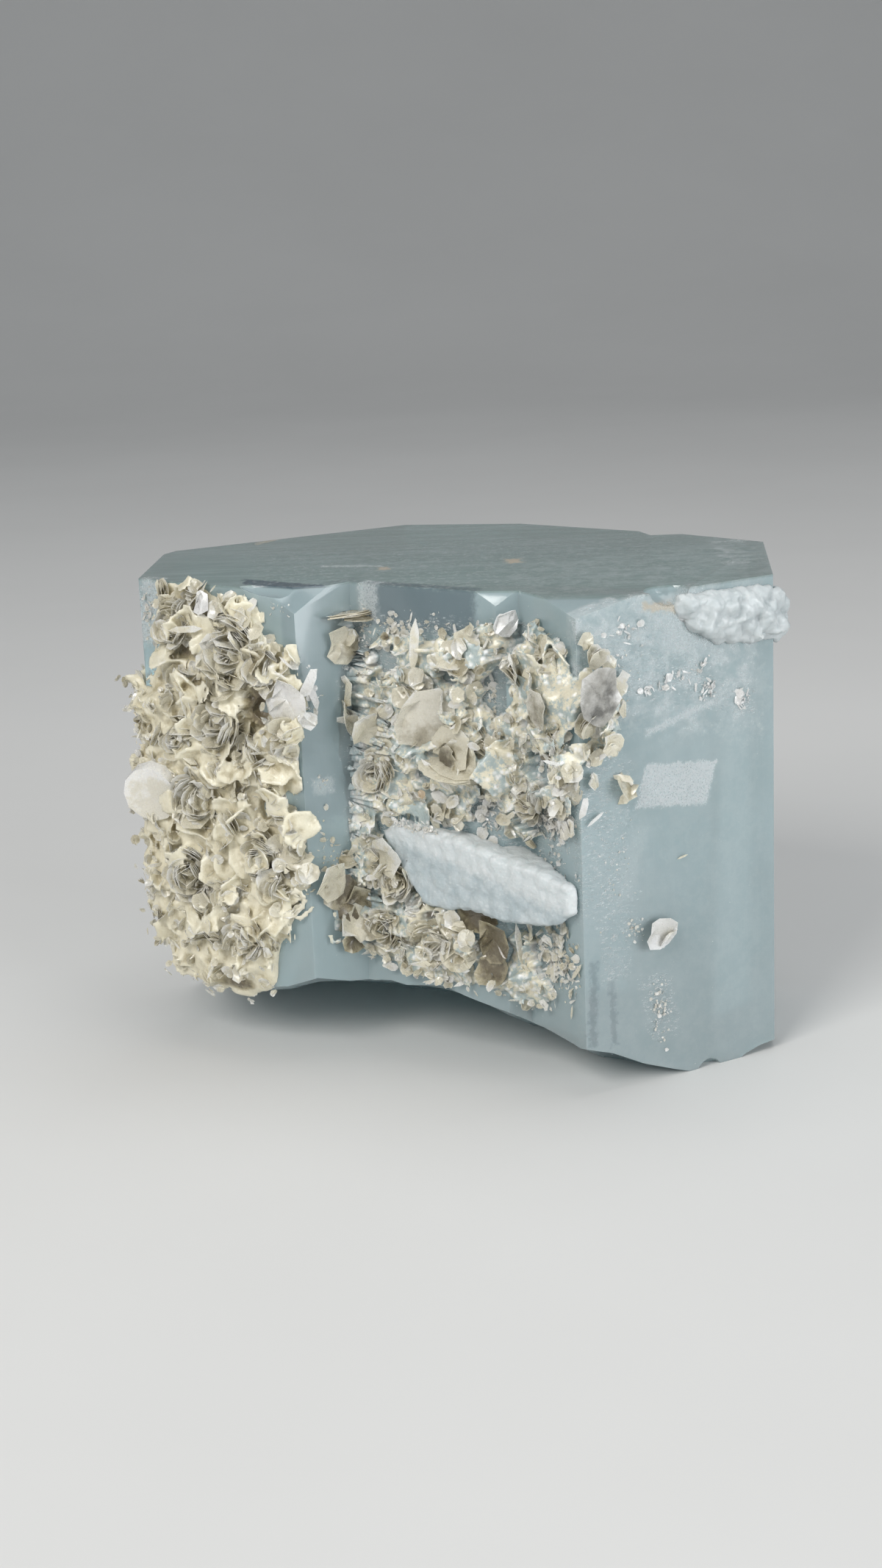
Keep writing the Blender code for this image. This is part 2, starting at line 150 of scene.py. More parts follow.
def roughen(piece: Obj, kind: str, size: float, height: float, middle: float = 0.5,
            **settings: object) -> None:
    """Add a modifier that raises bumps on a piece from a procedural texture.

    Args:
        piece: The piece.
        kind: The texture's type.
        size: Size of the bumps, in mm.
        height: Height of the bumps, in mm.
        middle: The texture's value where the surface stays.
        settings: More of the texture's properties.
    """
    texture = configured(bpy.data.textures.new(f"{piece.name}_{kind.lower()}", kind),
                         noise_scale=size * MM, **settings)
    modify(piece, "DISPLACE", texture=texture, texture_coords="LOCAL", strength=height * MM,
           mid_level=middle)


def shade_smooth(piece: Obj, sharpest: float) -> None:
    """Smooth a piece's shading, apart from edges over an angle in degrees."""
    activate(piece)
    bpy.ops.object.shade_smooth_by_angle(angle=math.radians(sharpest))


def new_object(name: str, data: object) -> Obj:
    """Put a new object in the scene.

    Args:
        name: Its name.
        data: Its mesh, light or camera.

    Returns:
        The object.
    """
    added = bpy.data.objects.new(name, data)
    bpy.context.scene.collection.objects.link(added)
    return added


def merged_copy(node: str, name: str) -> Obj:
    """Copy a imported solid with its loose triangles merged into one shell.

    Args:
        node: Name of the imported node.
        name: Name of the new piece.

    Returns:
        The new object, with its own mesh, at the origin.
    """
    piece = new_object(name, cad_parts[node].data.copy())
    piece.data.name = name
    activate(piece)
    bpy.ops.object.mode_set(mode="EDIT")
    bpy.ops.mesh.select_all(action="SELECT")
    bpy.ops.mesh.remove_doubles(threshold=MERGED_WITHIN * MM)
    bpy.ops.mesh.dissolve_limited(angle_limit=math.radians(FLAT_WITHIN))
    bpy.ops.object.mode_set(mode="OBJECT")
    return piece


def solid_tree(node: str) -> BVHTree:
    """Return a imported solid's faces as a tree for finding the nearest one."""
    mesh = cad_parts[node].data
    return BVHTree.FromPolygons([v.co.copy() for v in mesh.vertices],
                                [tuple(face.vertices) for face in mesh.polygons])


def values_of(items: object, name: str, width: int = 1, kind: type = float) -> np.ndarray:
    """Read a property of every vertex, edge or attribute value.

    Args:
        items: The mesh's vertices, edges or attribute values.
        name: The property.
        width: How many numbers it has.
        kind: Type of the numbers.

    Returns:
        A row for each item.
    """
    values = np.empty(len(items) * width, kind)
    items.foreach_get(name, values)
    return values.reshape(-1, width)


def points_of(mesh: Mesh) -> np.ndarray:
    """Return a mesh's points in mm."""
    return values_of(mesh.vertices, "co", 3) / MM


def store(mesh: Mesh, **values: np.ndarray) -> None:
    """Store numbers for each point of a mesh, where its material reads them."""
    for label, numbers in values.items():
        layer = mesh.attributes.new(label, "FLOAT", "POINT")
        layer.data.foreach_set("value", numbers.astype(np.float32))


def finish_piece(piece: Obj, material: Material, slot: str, *nodes: str) -> None:
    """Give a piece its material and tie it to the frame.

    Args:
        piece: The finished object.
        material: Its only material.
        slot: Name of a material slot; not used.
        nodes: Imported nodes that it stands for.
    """
    piece.data.materials.clear()
    piece.data.materials.append(material)
    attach(piece, BODY)
    if nodes:
        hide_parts(*nodes)
    LOG.info("%s: %d faces", piece.name, len(piece.data.polygons))


# Places on the prism


class Side(NamedTuple):
    """A straight side of the front outline.

    Args:
        first: Its first corner.
        along: Its direction.
        length: Its length, in mm.
        start: Distance of its first corner along the outline, in mm.
    """

    first: Vector
    along: Vector
    length: float
    start: float


@dataclass(frozen=True)
class PrismFront:
    """The prism's front outline in plan, which (s, z) places are measured along.

    Args:
        corners: Its corners, in mm.
        foremost: Which corner is the foremost.
        height: Height of the prism, in mm.
        margin: Least distance of a loose flake from an edge, in mm.
    """

    corners: tuple[tuple[float, float], ...] = (
        (-27.3, -0.3), (-12.8, -9.7), (-8.0, -6.1), (-6.0, -7.8), (4.7, -13.9), (6.7, -13.5),
        (11.1, -20.8), (28.9, -10.9))
    foremost: int = 6
    height: float = 44.0
    margin: float = 0.2

    @cached_property
    def shift(self) -> Vector:
        """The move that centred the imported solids, in mm."""
        low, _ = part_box(PRISM)
        return Vector((low.x / MM - self.corners[0][0],
                       low.y / MM - self.corners[self.foremost][1], 0.0))

    @cached_property
    def sides(self) -> tuple[Side, ...]:
        """The sides of the outline, in order."""
        sides, start = [], 0.0
        for first, last in zip(self.corners, self.corners[1:]):
            along = Vector((*last, 0.0)) - Vector((*first, 0.0))
            sides.append(Side(Vector((*first, 0.0)), along.normalized(), along.length, start))
            start += along.length
        return tuple(sides)

    def side(self, s: float) -> Side:
        """Return the side that a place is on."""
        return next((side for side in self.sides if s <= side.start + side.length),
                    self.sides[-1])

    def on_side(self, s: float, other: float) -> bool:
        """Return whether a place is on the same side as another one, clear of its edges."""
        side = self.side(s)
        return (side is self.side(other)
                and self.margin < s - side.start < side.length - self.margin)

    def axes(self, s: float) -> tuple[Vector, Vector]:
        """Return the direction along the side at s and the direction out of its face."""
        along = self.side(s).along
        return along, Vector((along.y, -along.x, 0.0))

    def point(self, s: float, z: float, out: float = 0.0) -> Vector:
        """Turn a place on the front into a point of the frame.

        Args:
            s: Distance along the front outline, in mm.
            z: Height above the base, in mm.
            out: Distance off the face, in mm.

        Returns:
            The point, in mm.
        """
        side = self.side(s)
        _, outward = self.axes(s)
        flat = side.first + side.along * (s - side.start)
        return flat + UP * z + outward * out + self.shift


FRONT = PrismFront()


# Nodes


class NodeSheet:
    """Adds nodes to one tree and joins them."""

    def __init__(self, tree: Tree) -> None:
        """Start on a tree, which is emptied."""
        self.tree = tree
        tree.nodes.clear()

    def put(self, socket: Socket, value: object) -> None:
        """Link a socket to another one, or set its own value."""
        if isinstance(value, bpy.types.NodeSocket):
            self.tree.links.new(value, socket)
        elif isinstance(value, tuple) and socket.type == "RGBA":
            socket.default_value = (*value, 1.0)
        else:
            socket.default_value = value

    def add(self, kind: str, *inputs: object, **settings: object) -> Node:
        """Add a node.

        Args:
            kind: The node's type, without its ShaderNode prefix where it has one.
            inputs: Sockets or values for its first inputs.
            settings: Properties to set on the node.

        Returns:
            The node.
        """
        full = kind if kind.startswith("Node") else "ShaderNode" + kind
        node = configured(self.tree.nodes.new(full), **settings)
        for socket, value in zip(node.inputs, inputs):
            self.put(socket, value)
        return node

    def fill(self, node: Node, **values: object) -> Node:
        """Link or set a node's inputs by name, with _ for a space, and return the node."""
        for name, value in values.items():
            self.put(node.inputs[name.replace("_", " ")], value)
        return node

    def math(self, operation: str, *values: object, clamp: bool = False) -> Socket:
        """Join two or more values by Math nodes, from the left.

        Args:
            operation: The nodes' operation.
            values: Sockets or numbers.
            clamp: Whether the result is kept between 0 and 1.

        Returns:
            The last output.
        """
        result, *others = values
        for other in others:
            node = self.add("Math", result, other, operation=operation)
            result = node.outputs[0]
        node.use_clamp = clamp
        return result

    def plus(self, *values: object, clamp: bool = False) -> Socket:
        """Return the sum of some values."""
        return self.math("ADD", *values, clamp=clamp)

    def minus(self, value: object, other: object) -> Socket:
        """Return one value less another."""
        return self.math("SUBTRACT", value, other)

    def times(self, *values: object) -> Socket:
        """Return the product of some values."""
        return self.math("MULTIPLY", *values)

    def unsigned(self, value: object) -> Socket:
        """Return a value without its sign."""
        return self.add("Math", value, operation="ABSOLUTE").outputs[0]

    def vector(self, operation: str, *values: object) -> Socket:
        """Add a Vector Math node and return its vector."""
        return self.add("VectorMath", *values, operation=operation).outputs[0]

    def scaled(self, vector: object, scale: object) -> Socket:
        """Return a vector times a number."""
        return self.fill(self.add("VectorMath", vector, operation="SCALE"), Scale=scale).outputs[0]

    def split(self, vector: Socket) -> list[Socket]:
        """Return a vector's x, y and z."""
        return list(self.add("SeparateXYZ", vector).outputs)

    def step(self, value: object, low: object, high: object,
             to: tuple[float, float] = (0.0, 1.0)) -> Socket:
        """Return a smooth step of a value between two limits."""
        return self.add("MapRange", value, low, high, *to,
                        interpolation_type="SMOOTHSTEP").outputs[0]

    def mix(self, factor: object, first: object, second: object) -> Socket:
        """Mix two colours.

        Args:
            factor: Share of the second colour.
            first: The first colour.
            second: The second colour.

        Returns:
            The mixed colour.
        """
        node = self.add("Mix", factor, data_type="RGBA")
        for socket, colour in zip((s for s in node.inputs if s.type == "RGBA"), (first, second)):
            self.put(socket, colour)
        return next(socket for socket in node.outputs if socket.type == "RGBA")

    def noise(self, vector: object, scale: object, detail: float, roughness: float) -> Socket:
        """Return a noise texture's value."""
        return self.fill(self.add("TexNoise"), Vector=vector, Scale=scale, Detail=detail,
                         Roughness=roughness).outputs[0]

    def group(self, tree: Tree, **values: object) -> Socket:
        """Place a group with its inputs by name and return its first output."""
        return self.fill(self.add("Group", node_tree=tree), **values).outputs[0]


class Surface(NodeSheet):
    """The nodes of one material, on the Principled BSDF."""

    def __init__(self, name: str) -> None:
        """Start a material.

        Args:
            name: Its name.
        """
        self.material = bpy.data.materials.new(name)
        self.material.use_nodes = True
        super().__init__(self.material.node_tree)
        self.shader = self.add("BsdfPrincipled")
        self.output = self.add("OutputMaterial", self.shader.outputs[0])
        self.place = self.scaled(self.add("TexCoord").outputs["Object"], 1.0 / MM)

    def dress(self, height: Socket | None = None, depth: float = 0.0, strength: float = 0.9,
              **values: object) -> Material:
        """Fill the shader's inputs.

        Args:
            height: A height between 0 and 1 that makes bumps.
            depth: What a height of 1 stands for, in mm.
            strength: Strength of the bumps.
            values: Inputs by name, with _ for a space.

        Returns:
            The material.
        """
        self.fill(self.shader, **values)
        if height is not None:
            node = self.fill(self.add("Bump"), Height=height, Distance=depth * MM,
                             Strength=strength)
            self.fill(self.shader, Normal=node.outputs[0])
        return self.material


class GroupSheet(NodeSheet):
    """The nodes of a group that more than one finish uses."""

    def __init__(self, name: str, outputs: tuple[str, ...], **inputs: float | None) -> None:
        """Start a group.

        Args:
            name: Its name.
            outputs: Names of its float outputs.
            inputs: Its inputs by name, with _ for a space: a number, or None for a vector.
        """
        super().__init__(bpy.data.node_groups.new(name, "ShaderNodeTree"))
        for label, value in inputs.items():
            socket = self.tree.interface.new_socket(
                label.replace("_", " "), in_out="INPUT",
                socket_type="NodeSocketVector" if value is None else "NodeSocketFloat")
            if value is not None:
                socket.default_value = value
        for label in outputs:
            self.tree.interface.new_socket(label, in_out="OUTPUT", socket_type="NodeSocketFloat")
        self.given = dict(zip(inputs, self.add("NodeGroupInput").outputs))

    def closed(self, *results: Socket) -> Tree:
        """Link the group's outputs, in order, and return its tree."""
        self.add("NodeGroupOutput", *results)
        return self.tree


@cache
def mottle() -> Tree:
    """Build the group of cloudy variation between 0 and 1.

    Returns:
        Its tree.
    """
    sheet = GroupSheet("Mottle", ("Value",), Vector=None, Scale=1.0, Contrast=0.2)
    vector, scale, contrast = sheet.given.values()
    cloud = sheet.noise(vector, scale, 4.0, 0.6)
    return sheet.closed(sheet.step(cloud, sheet.minus(0.5, contrast), sheet.plus(0.5, contrast)))


@cache
def speckle() -> Tree:
    """Build the group of small bright grains that gather in clusters.

    Returns:
        Its tree.
    """
    sheet = GroupSheet("Speckle", ("Mask",), Vector=None, Scale=4.0, Size=0.25, Share=0.5)
    vector, scale, size, share = sheet.given.values()
    warp = sheet.fill(sheet.add("TexNoise"), Vector=vector, Scale=scale).outputs["Color"]
    pushed = sheet.vector("ADD", vector, sheet.scaled(warp, 0.25))
    cells = sheet.fill(sheet.add("TexVoronoi", feature="F1"), Vector=pushed, Scale=scale)
    grain = sheet.step(cells.outputs["Distance"], size, 0.0)
    draw = sheet.add("SeparateColor", cells.outputs["Color"]).outputs[0]
    return sheet.closed(sheet.times(grain, sheet.math("LESS_THAN", draw, share)))


@cache
def striae() -> Tree:
    """Build the group of fine growth lines that run up a prism's faces.

    Returns:
        Its tree.
    """
    sheet = GroupSheet("Striae", ("Height",), Vector=None, Fineness=2.0, Stretch=0.04)
    vector, fineness, stretch = sheet.given.values()
    squash = sheet.add("CombineXYZ", 1.0, 1.0, stretch).outputs[0]
    return sheet.closed(sheet.noise(sheet.vector("MULTIPLY", vector, squash), fineness, 5.0, 0.7))


@cache
def upright_face() -> Tree:
    """Build the group of coordinates on one upright face, with a mask that is 1 on it.

    Returns:
        Its tree.
    """
    sheet = GroupSheet("Face", ("Along", "Height", "On"), Vector=None, Corner=None, Turn=0.0)
    vector, corner, turn = sheet.given.values()
    turned = sheet.fill(sheet.add("VectorRotate", rotation_type="Z_AXIS"),
                        Vector=sheet.vector("SUBTRACT", vector, corner),
                        Angle=sheet.times(turn, -1.0))
    along, off, height = sheet.split(turned.outputs[0])
    return sheet.closed(along, height, sheet.step(sheet.unsigned(off), 1.6, 1.1))


@cache
def patch() -> Tree:
    """Build the group of a soft, ragged, slanted oblong on a face.

    Returns:
        Its tree.
    """
    sheet = GroupSheet("Patch", ("Mask",), Along=0.0, Height=0.0, Ragged=0.0, Middle=0.0,
                       Level=0.0, Half_Width=1.0, Half_Height=1.0, Slant=0.0, Lean=0.0, Soft=0.2)
    given = sheet.given
    across = sheet.minus(given["Along"], given["Middle"])
    rise = sheet.minus(given["Height"], given["Level"])
    level = sheet.minus(rise, sheet.times(across, given["Slant"]))
    lean = sheet.minus(across, sheet.times(rise, given["Lean"]))
    wide = sheet.minus(sheet.unsigned(lean), given["Half_Width"])
    tall = sheet.minus(sheet.unsigned(level), given["Half_Height"])
    beyond = sheet.plus(sheet.math("MAXIMUM", wide, tall), given["Ragged"])
    return sheet.closed(sheet.step(beyond, given["Soft"], 0.0))


# Finishes


@dataclass(frozen=True)
class FaceMark:
    """A mark on one of the prism's front faces, or on its top.

    Args:
        kind: What the mark is.
        s: Place of its middle along the front outline, or across the top, in mm.
        z: Height of its middle, or how far back it is on the top, in mm.
        half_width: Half its width, in mm.
        half_height: Half its height, in mm.
        soft: Width of its soft edge, in mm.
        ragged: How far noise eats into its edge, in mm.
        weight: Its strength, from 0 to 1.
        slant: Rise of its upper and lower edges for each mm along.
        lean: Shift of its upright edges for each mm of height.
    """

    kind: MarkKind
    s: float
    z: float
    half_width: float
    half_height: float
    soft: float
    ragged: float
    weight: float
    slant: float = 0.0
    lean: float = 0.0


@dataclass(frozen=True)
class BerylFinish:
    """Pale blue, slightly milky beryl with glassy faces, frosted marks, painted shade and painted
    glints.

    Args:
        marks: Marks on its front faces.
        top_marks: Marks on its top.
        body: Its colour.
        milk: Colour of its milky clouds and growth lines.
        frost: Colour of frosted patches and dust, and of the grain marks' painted glints.
        shade: Colour of painted shade on dark facets, chips and gaps.
        stain: Colour of stains.
        top: Colour of its top face, painted darker as shade.
        absorbed: Colour that light takes on inside it.
        density: How fast light takes that colour on, for each metre.
        ior: Its refractive index.
        transmission: Share of the light that passes.
        gloss: Roughness of its clean faces.
        noise_swing: What noise is multiplied by to eat into the marks' edges.
    """

    marks: tuple[FaceMark, ...]
    top_marks: tuple[FaceMark, ...]
    body: Colour = (0.475, 0.585, 0.605)
    milk: Colour = (0.60, 0.69, 0.715)
    frost: Colour = (0.86, 0.90, 0.91)
    shade: Colour = (0.12, 0.16, 0.19)
    stain: Colour = (0.78, 0.66, 0.50)
    top: Colour = (0.295, 0.385, 0.370)
    absorbed: Colour = (0.55, 0.80, 0.85)
    density: float = 18.0
    ior: float = 1.577
    transmission: float = 0.45
    gloss: float = 0.05
    noise_swing: float = 4.0

    def make(self) -> Material:
        """Build the material.

        Returns:
            The material.
        """
        sheet = Surface("Beryl")
        place = sheet.place
        top = sheet.step(sheet.split(place)[2], FRONT.height - 0.25, FRONT.height - 0.05)
        cloud = sheet.group(mottle(), Vector=place, Scale=0.11, Contrast=0.16)
        lines = sheet.group(striae(), Vector=place, Fineness=0.9, Stretch=0.05)
        fine_lines = sheet.group(striae(), Vector=place, Fineness=3.2, Stretch=0.03)
        streak = sheet.noise(sheet.vector("MULTIPLY", place, (0.14, 1.0, 1.0)), 0.9, 5.0, 0.65)
        dust = sheet.group(speckle(), Vector=place, Scale=1.1, Size=0.10, Share=0.3)
        masks = self._masks(sheet, top)
        frosted = sheet.plus(masks[FROST], sheet.times(dust, 0.5), clamp=True)

        colour = sheet.mix(sheet.times(cloud, 0.3), self.body, self.milk)
        colour = sheet.mix(sheet.step(lines, 0.45, 0.75, (0.0, 0.12)), colour, self.milk)
        # Painted shade: the top face takes a darker colour of its own, streaked with milk.
        top_colour = sheet.mix(sheet.step(streak, 0.38, 0.70, (0.0, 0.26)), self.top, self.milk)
        # Over the body go the top face, painted darker as shade, the shade marks' painted shade,
        # frost with the grain marks' painted glints, and stains.
        for mask, tint in ((top, top_colour), (masks[SHADE], self.shade), (frosted, self.frost),
                           (masks[STAIN], self.stain)):
            colour = sheet.mix(mask, colour, tint)

        facing = sheet.split(sheet.add("TexCoord").outputs["Normal"])[2]
        broken_base = sheet.step(facing, -0.15, -0.5)
        rough = sheet.plus(self.gloss, sheet.times(cloud, 0.05), sheet.times(frosted, 0.4),
                           sheet.times(broken_base, 0.18), clamp=True)
        height = sheet.plus(sheet.times(lines, 0.5), sheet.times(fine_lines, 0.2),
                            sheet.times(frosted, sheet.noise(place, 5.0, 3.0, 0.6)))
        volume = sheet.fill(sheet.add("VolumeAbsorption"), Color=self.absorbed,
                            Density=self.density)
        sheet.fill(sheet.output, Volume=volume.outputs[0])
        return sheet.dress(height, 0.06, 0.5, Base_Color=colour, Roughness=rough, IOR=self.ior,
                           Transmission_Weight=self.transmission, Subsurface_Weight=0.3,
                           Subsurface_Radius=(0.9, 1.0, 1.0), Subsurface_Scale=1.5 * MM)

    def _masks(self, sheet: Surface, top: Socket) -> dict[MarkKind, Socket]:
        """Build the masks of frost with painted glints, of painted shade and of stain from the
        marks on each face.

        Args:
            sheet: The material's nodes.
            top: Mask of the top face.

        Returns:
            A mask for each kind.
        """
        place = sheet.place
        brushed = sheet.fill(sheet.add("Mapping"), Vector=place, Scale=(0.55, 0.55, 1.7),
                             Rotation=(0.0, math.radians(32.0), 0.0)).outputs[0]
        # Grain marks: brushed bright dashes, which are painted glints, and frosty wisps.
        dashes = sheet.group(speckle(), Vector=brushed, Scale=2.6, Size=0.40, Share=0.6)
        wisps = sheet.step(sheet.noise(brushed, 2.4, 7.0, 0.85), 0.51, 0.62)
        textures = {
            GRAINS: sheet.math("MAXIMUM", dashes, wisps),
            FROST: sheet.step(sheet.noise(place, 6.0, 4.0, 0.75), 0.36, 0.60, (0.45, 1.0)),
            HAZE: sheet.step(sheet.noise(place, 0.55, 7.0, 0.8), 0.40, 0.64)}
        uneven = sheet.minus(sheet.noise(place, 1.6, 6.0, 0.75), 0.5)
        across, back, _ = sheet.split(sheet.vector("SUBTRACT", place, FRONT.shift))
        sides = {FRONT.side(mark.s).start: FRONT.side(mark.s) for mark in self.marks}
        faces = {start: self._face(sheet, side) for start, side in sides.items()}
        masks: dict[MarkKind, Socket] = {}
        for mark in (*self.marks, *self.top_marks):
            start = 0.0 if mark in self.top_marks else FRONT.side(mark.s).start
            along, rise, on = (across, back, top) if mark in self.top_marks else faces[start]
            shape = sheet.group(
                patch(), Along=along, Height=rise, Middle=mark.s - start, Level=mark.z,
                Ragged=sheet.times(uneven, mark.ragged * self.noise_swing),
                Half_Width=mark.half_width, Half_Height=mark.half_height, Slant=mark.slant,
                Lean=mark.lean, Soft=mark.soft)
            kind, mask = mark.kind, sheet.times(shape, on, mark.weight)
            if kind in textures:
                kind, mask = FROST, sheet.times(mask, textures[kind])
            masks[kind] = sheet.math("MAXIMUM", masks[kind], mask) if kind in masks else mask
        return masks

    @staticmethod
    def _face(sheet: Surface, side: Side) -> tuple[Socket, ...]:
        """Return the coordinates along and up a side, and its mask."""
        node = sheet.fill(sheet.add("Group", node_tree=upright_face()), Vector=sheet.place,
                          Corner=side.first + FRONT.shift,
                          Turn=math.atan2(side.along.y, side.along.x))
        return tuple(node.outputs)


@dataclass(frozen=True)
class MuscoviteFinish:
    """Pearly muscovite, from olive brown in the hollows to cream and silver on the leaves, with
    painted shade and highlights.

    Args:
        name: The material's name.
        deep: Colour of the darkest tone, painted shade in the deepest hollows.
        olive: Colour of the hollows, olive with painted shade.
        cream: Colour of the leaves.
        silver: Colour of the lightest tone: silver leaves, and painted highlights on rims and
            ridges.
        rust: Colour of stained leaves.
        sunk: Colour of the prism where the film on it is thin.
        gloss: Roughness of the smoothest leaves, before flecks.
        coat: Strength of the clear coat.
        transmission: Share of the light that passes.
        milky: Share of the light that spreads below the surface.
        relief: Depth of the ridges, in mm.
        seen: How much of the prism shows through a thin film.
        glitter: Strength of its silver grains, which are painted glints.
    """

    name: str = "Muscovite"
    deep: Colour = (0.16, 0.13, 0.08)
    olive: Colour = (0.48, 0.42, 0.27)
    cream: Colour = (0.815, 0.765, 0.60)
    silver: Colour = (0.94, 0.93, 0.88)
    rust: Colour = (0.50, 0.30, 0.13)
    sunk: Colour = (0.36, 0.46, 0.48)
    gloss: float = 0.26
    coat: float = 0.6
    transmission: float = 0.15
    milky: float = 0.25
    relief: float = 0.025
    seen: float = 0.0
    glitter: float = 0.0

    def make(self) -> Material:
        """Build the material, which reads each leaf's tone, warmth and rim.

        Returns:
            The material.
        """
        sheet = Surface(self.name)
        place = sheet.place
        tone, warmth, rim = (sheet.add("Attribute", attribute_name=label).outputs["Fac"]
                             for label in LEAF_VALUES)
        cloud = sheet.group(mottle(), Vector=place, Scale=0.9, Contrast=0.25)
        broad = sheet.group(mottle(), Vector=place, Scale=0.34, Contrast=0.16)
        # Rims of leaves and ridges of the mass are lightened further here: painted highlight.
        light = sheet.plus(tone, sheet.times(sheet.minus(cloud, 0.5), 0.30),
                           sheet.times(sheet.minus(broad, 0.55), 0.22), sheet.times(rim, 0.18),
                           clamp=True)
        colour = sheet.mix(sheet.step(light, 0.0, 0.32), self.deep, self.olive)
        colour = sheet.mix(sheet.step(light, 0.25, 0.60), colour, self.cream)
        colour = sheet.mix(sheet.step(light, 0.75, 1.05), colour, self.silver)
        grey = sheet.add("RGBToBW", colour).outputs[0]
        colour = sheet.mix(sheet.step(warmth, 0.5, 0.0, (0.0, 0.8)), colour, grey)
        colour = sheet.mix(sheet.step(warmth, 0.8, 1.0, (0.0, 0.6)), colour, self.rust)
        if self.seen:
            thin = sheet.step(sheet.noise(place, 0.50, 6.0, 0.8), 0.46, 0.56, (0.0, self.seen))
            colour = sheet.mix(sheet.times(thin, sheet.step(tone, 0.95, 0.7)), colour, self.sunk)
            # Silver grains on the film are painted glints.
            grains = sheet.group(speckle(), Vector=place, Scale=1.8, Size=0.6, Share=0.65)
            colour = sheet.mix(sheet.times(grains, self.glitter), colour, self.silver)
        colour = sheet.mix(sheet.step(warmth, 0.1, -0.3), colour, self.sunk)
        flecks = sheet.noise(place, 2.2, 3.0, 0.6)
        ridges = sheet.group(striae(), Vector=place, Fineness=1.6, Stretch=0.5)
        return sheet.dress(
            sheet.plus(ridges, sheet.times(flecks, 0.6)), self.relief, Base_Color=colour,
            Roughness=sheet.step(flecks, 0.3, 0.7, (self.gloss - 0.12, self.gloss + 0.2)),
            Coat_Weight=sheet.step(cloud, 0.0, 1.0, (self.coat * 0.4, self.coat)),
            Coat_Roughness=0.10, IOR=1.58, Transmission_Weight=self.transmission,
            Subsurface_Weight=self.milky, Subsurface_Radius=(1.0, 0.95, 0.85),
            Subsurface_Scale=0.8 * MM)


@dataclass(frozen=True)
class FrostyFinish:
    """A frosty, granular mineral that lets some light through.

    Args:
        name: The material's name.
        body: Its colour.
        grain: Colour of its grains.
        dirt: Colour of its few dark spots.
        grain_scale: How fine its grains are.
        relief: Height of its grains, in mm.
        rough: Its roughness.
        border: Height and slope of the line above which it is whiter, in mm and mm for each mm.
        transmission: Share of the light that passes.
        ior: Its refractive index.
    """

    name: str
    body: Colour
    grain: Colour
    dirt: Colour
    grain_scale: float
    relief: float
    rough: float = 0.45
    border: tuple[float, float] | None = None
    transmission: float = 0.2
    ior: float = 1.54

    def make(self) -> Material:
        """Build the material.

        Returns:
            The material.
        """
        sheet = Surface(self.name)
        place = sheet.place
        cloud = sheet.group(mottle(), Vector=place, Scale=0.55, Contrast=0.22)
        grains = sheet.group(speckle(), Vector=place, Scale=self.grain_scale, Size=0.55,
                             Share=0.55)
        spots = sheet.group(speckle(), Vector=place, Scale=0.5, Size=0.07, Share=0.10)
        white = sheet.plus(sheet.times(cloud, 0.55), sheet.times(grains, 0.45), clamp=True)
        if self.border:
            level, slope = self.border
            x, _, z = sheet.split(place)
            torn = sheet.noise(place, 1.1, 6.0, 0.75)
            line = sheet.plus(z, sheet.times(x, -slope), sheet.times(torn, 3.0))
            edge = sheet.times(sheet.step(line, level, level + 1.5, (0.0, 0.85)),
                               sheet.step(grains, 0.0, 1.0, (0.75, 1.0)))
            white = sheet.math("MAXIMUM", sheet.times(white, 0.6), edge)
        colour = sheet.mix(spots, sheet.mix(white, self.body, self.grain), self.dirt)
        return sheet.dress(
            sheet.noise(place, self.grain_scale, 3.0, 0.6), self.relief, Base_Color=colour,
            Roughness=sheet.step(grains, 0.0, 1.0, (self.rough, self.rough - 0.08)), IOR=self.ior,
            Transmission_Weight=self.transmission, Subsurface_Weight=0.6,
            Subsurface_Radius=(0.9, 1.0, 1.0), Subsurface_Scale=1.0 * MM)


@dataclass(frozen=True)
class FloorFinish:
    """Pale plain paper.

    Args:
        pale: Its darker colour.
        paler: Its lighter colour.
    """

    pale: Colour = (0.66, 0.66, 0.65)
    paler: Colour = (0.69, 0.69, 0.68)

    def make(self) -> Material:
        """Build the material.

        Returns:
            The material.
        """
        sheet = Surface("Floor")
        cloud = sheet.group(mottle(), Vector=sheet.place, Scale=0.01, Contrast=0.3)
        return sheet.dress(Base_Color=sheet.mix(cloud, self.pale, self.paler),
                           Roughness=sheet.step(cloud, 0.0, 1.0, (0.85, 0.9)),
                           Specular_IOR_Level=0.1)


# Muscovite leaves


class Leaf(NamedTuple):
    """A modelled leaf: its points, its triangles, and how near each point is to the rim."""

    points: np.ndarray
    faces: np.ndarray
    rim: np.ndarray


